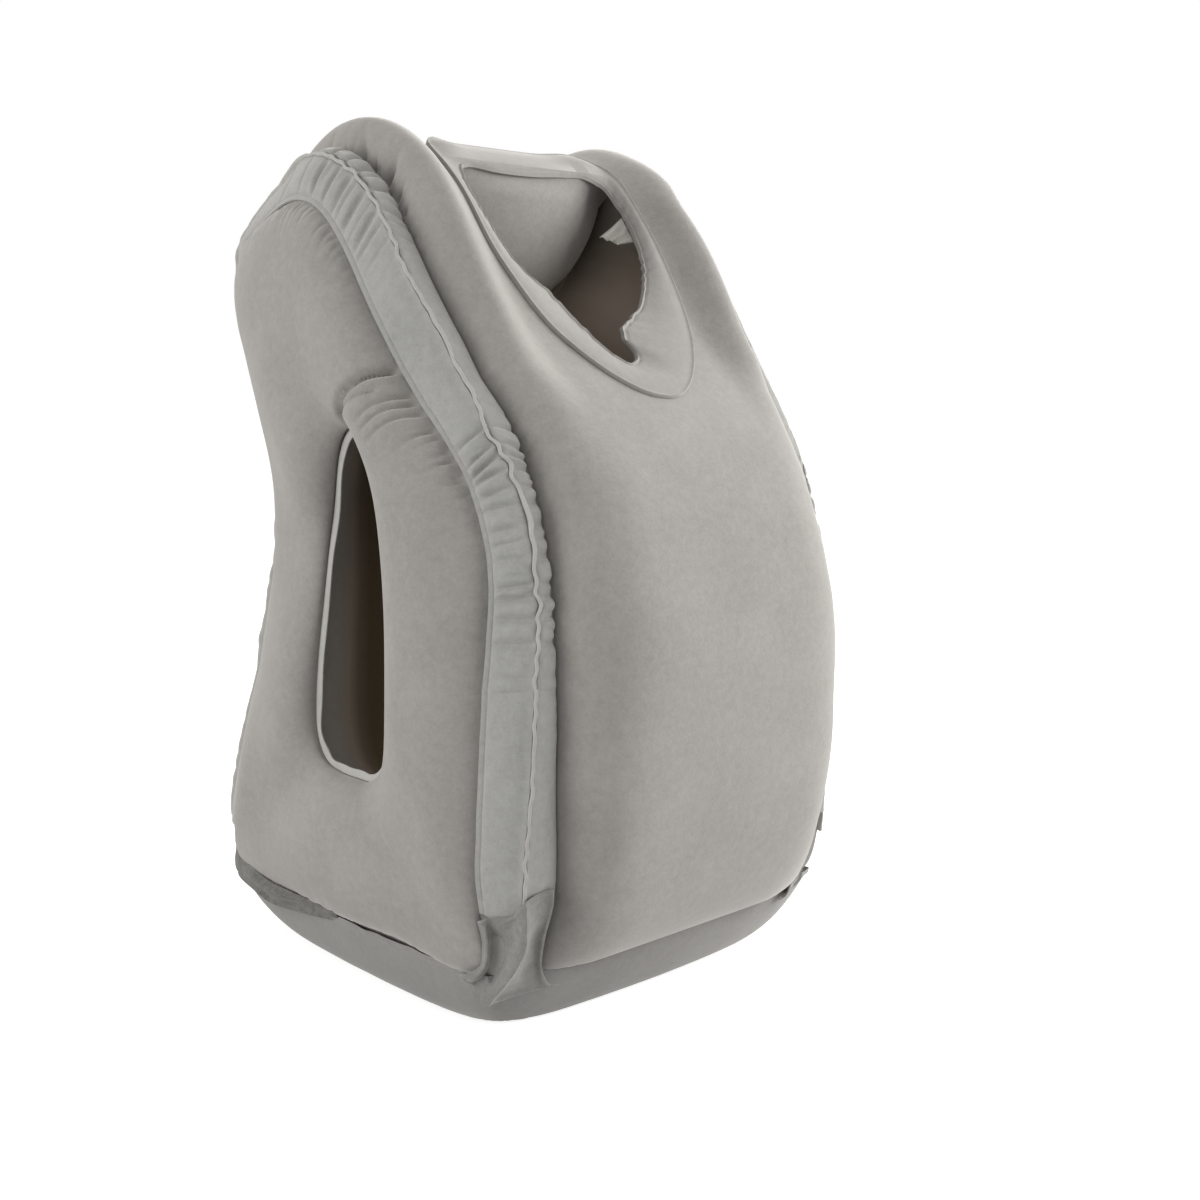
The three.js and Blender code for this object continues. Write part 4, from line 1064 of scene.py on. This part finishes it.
# The ears' colours are darker than the gusset's as painted shade. The front ears are darkened for the
# shade in their folds. The back ones lie in the shadow under the side panels and are darker still.
ear_shade_flock = {
    "front": flocked_film("flocked_film_ear_front_shade", "#6f6e6a", "#93928e", sheen=0.7),
    "back": flocked_film("flocked_film_ear_back_shade", "#4f4e4b", "#83827e", sheen=0.4),
}
for hand, mirror, _ in HANDS:
    for where in ("front", "back"):
        ear = ear_mesh(where, hand, mirror, f"corner_ear_{where}_{hand}_fold")
        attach(ear, "root")
        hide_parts(f"corner_ear_{where}_{hand}")


# Inner tab: a short pleated end of pale film that hangs from under the collar's arm on the +x side.
# Its corners, hidden edge first, each from its lower end to its upper one
TAB_CORNERS = (((65, -31, 473), (66.5, -17.5, 489.5)), ((60, -22, 471.5), (52.5, -10.5, 477)))
TAB_FILM, TAB_PLEATS = 0.9, 2.6
pale_film = flocked_film("pale_film", "#b9b5ae", "#d2cfc9", sheen=0.1)


def tab_mesh(material):
    """A fan from its hidden edge to its free one, pleated by sine waves that grow outwards."""
    r, s = np.linspace(0, 1, 25)[:, None], np.linspace(0, 1, 41)[None, :]
    (a, b), (c, d) = np.array(TAB_CORNERS)
    r3, s3 = r[..., None], s[..., None]
    flat = (a * (1 - s3) + b * s3) * (1 - r3) + (c * (1 - s3) + d * s3) * r3
    normal = normals_of(flat, False)
    fold = 1.5 * np.sin(2 * np.pi * TAB_PLEATS * s + 0.8 * r) * (0.3 + 0.7 * r)
    fold = fold + 0.5 * wander(7 * s + 4 * r, 51)
    lower = flat + normal * fold[..., None]
    return sheet_mesh("inner_tab_film", lower, normal, TAB_FILM, material)


tab = tab_mesh(pale_film)
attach(tab, "root")
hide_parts("inner_tab")


# Studio: white paper underneath, a white world behind, four soft square lights that face the
# pillow's middle, and the camera where the pillow was seen from.
floor_mesh = bpy.data.meshes.new("floor")
floor_mesh.from_pydata([(-60, -60, 0), (60, -60, 0), (60, 60, 0), (-60, 60, 0)], [], [(0, 1, 2, 3)])
floor = bpy.data.objects.new("floor", floor_mesh)
bpy.context.scene.collection.objects.link(floor)


LAMP_SIZE, MIDDLE = 1.1, Vector((0, 0, 0.28))


def studio_white(tree, own, seen):
    """A brightness of its own for the light that it gives, and more where it is looked at."""
    path = add(tree, "ShaderNodeLightPath")
    return add(tree, "ShaderNodeMath", {"operation": "MULTIPLY_ADD"}, {1: seen - own, 2: own},
               {0: path.outputs["Is Camera Ray"]}).outputs[0]


paper = bpy.data.materials.new("white_paper")
paper.use_nodes = True
sheet = paper.node_tree.nodes["Principled BSDF"]
sheet.inputs["Base Color"].default_value = (0.48, 0.48, 0.48, 1)
sheet.inputs["Roughness"].default_value = 0.95
sheet.inputs["Emission Color"].default_value = (1, 1, 1, 1)
paper.node_tree.links.new(studio_white(paper.node_tree, 0.0, 0.8),
                          sheet.inputs["Emission Strength"])
floor_mesh.materials.append(paper)

world = bpy.data.worlds.new("studio")
bpy.context.scene.world = world
world.use_nodes = True
backdrop = world.node_tree.nodes["Background"]
backdrop.inputs["Color"].default_value = (1, 1, 1, 1)
world.node_tree.links.new(studio_white(world.node_tree, 0.62, 1.0), backdrop.inputs["Strength"])
bpy.context.scene.view_settings.view_transform = "Standard"

for name, place, power in (("right", (1.8, -0.9, 1.0), 33), ("front", (1.0, -1.9, 0.8), 20),
                           ("left", (-1.9, 0.4, 0.5), 20.5), ("rear", (1.6, 1.0, 1.2), 24)):
    lamp = bpy.data.lights.new(name, "AREA")
    lamp.size, lamp.energy = LAMP_SIZE, power
    holder = bpy.data.objects.new(name, lamp)
    holder.location = place
    way = MIDDLE - holder.location
    holder.rotation_euler = way.to_track_quat("-Z", "Y").to_euler()
    bpy.context.scene.collection.objects.link(holder)

AZIMUTH, DISTANCE, EYE, YAW, PITCH = -40.18, 1.008, 0.381, -2.62, 8.3
camera = bpy.data.cameras.new("camera")
camera.sensor_width, camera.lens = 36.0, 45.0
viewer = bpy.data.objects.new("camera", camera)
azimuth, turn, pitch = (math.radians(a) for a in (AZIMUTH, AZIMUTH + YAW, PITCH))
right = Vector((math.cos(turn), math.sin(turn), 0))
forward = Vector((-math.sin(turn) * math.cos(pitch), math.cos(turn) * math.cos(pitch),
                  -math.sin(pitch)))
up = right.cross(forward)
aim = Matrix((right, up, -forward)).transposed()
viewer.matrix_world = Matrix.Translation((math.sin(azimuth) * DISTANCE,
                                          -math.cos(azimuth) * DISTANCE, EYE)) @ aim.to_4x4()
bpy.context.scene.collection.objects.link(viewer)
bpy.context.scene.camera = viewer
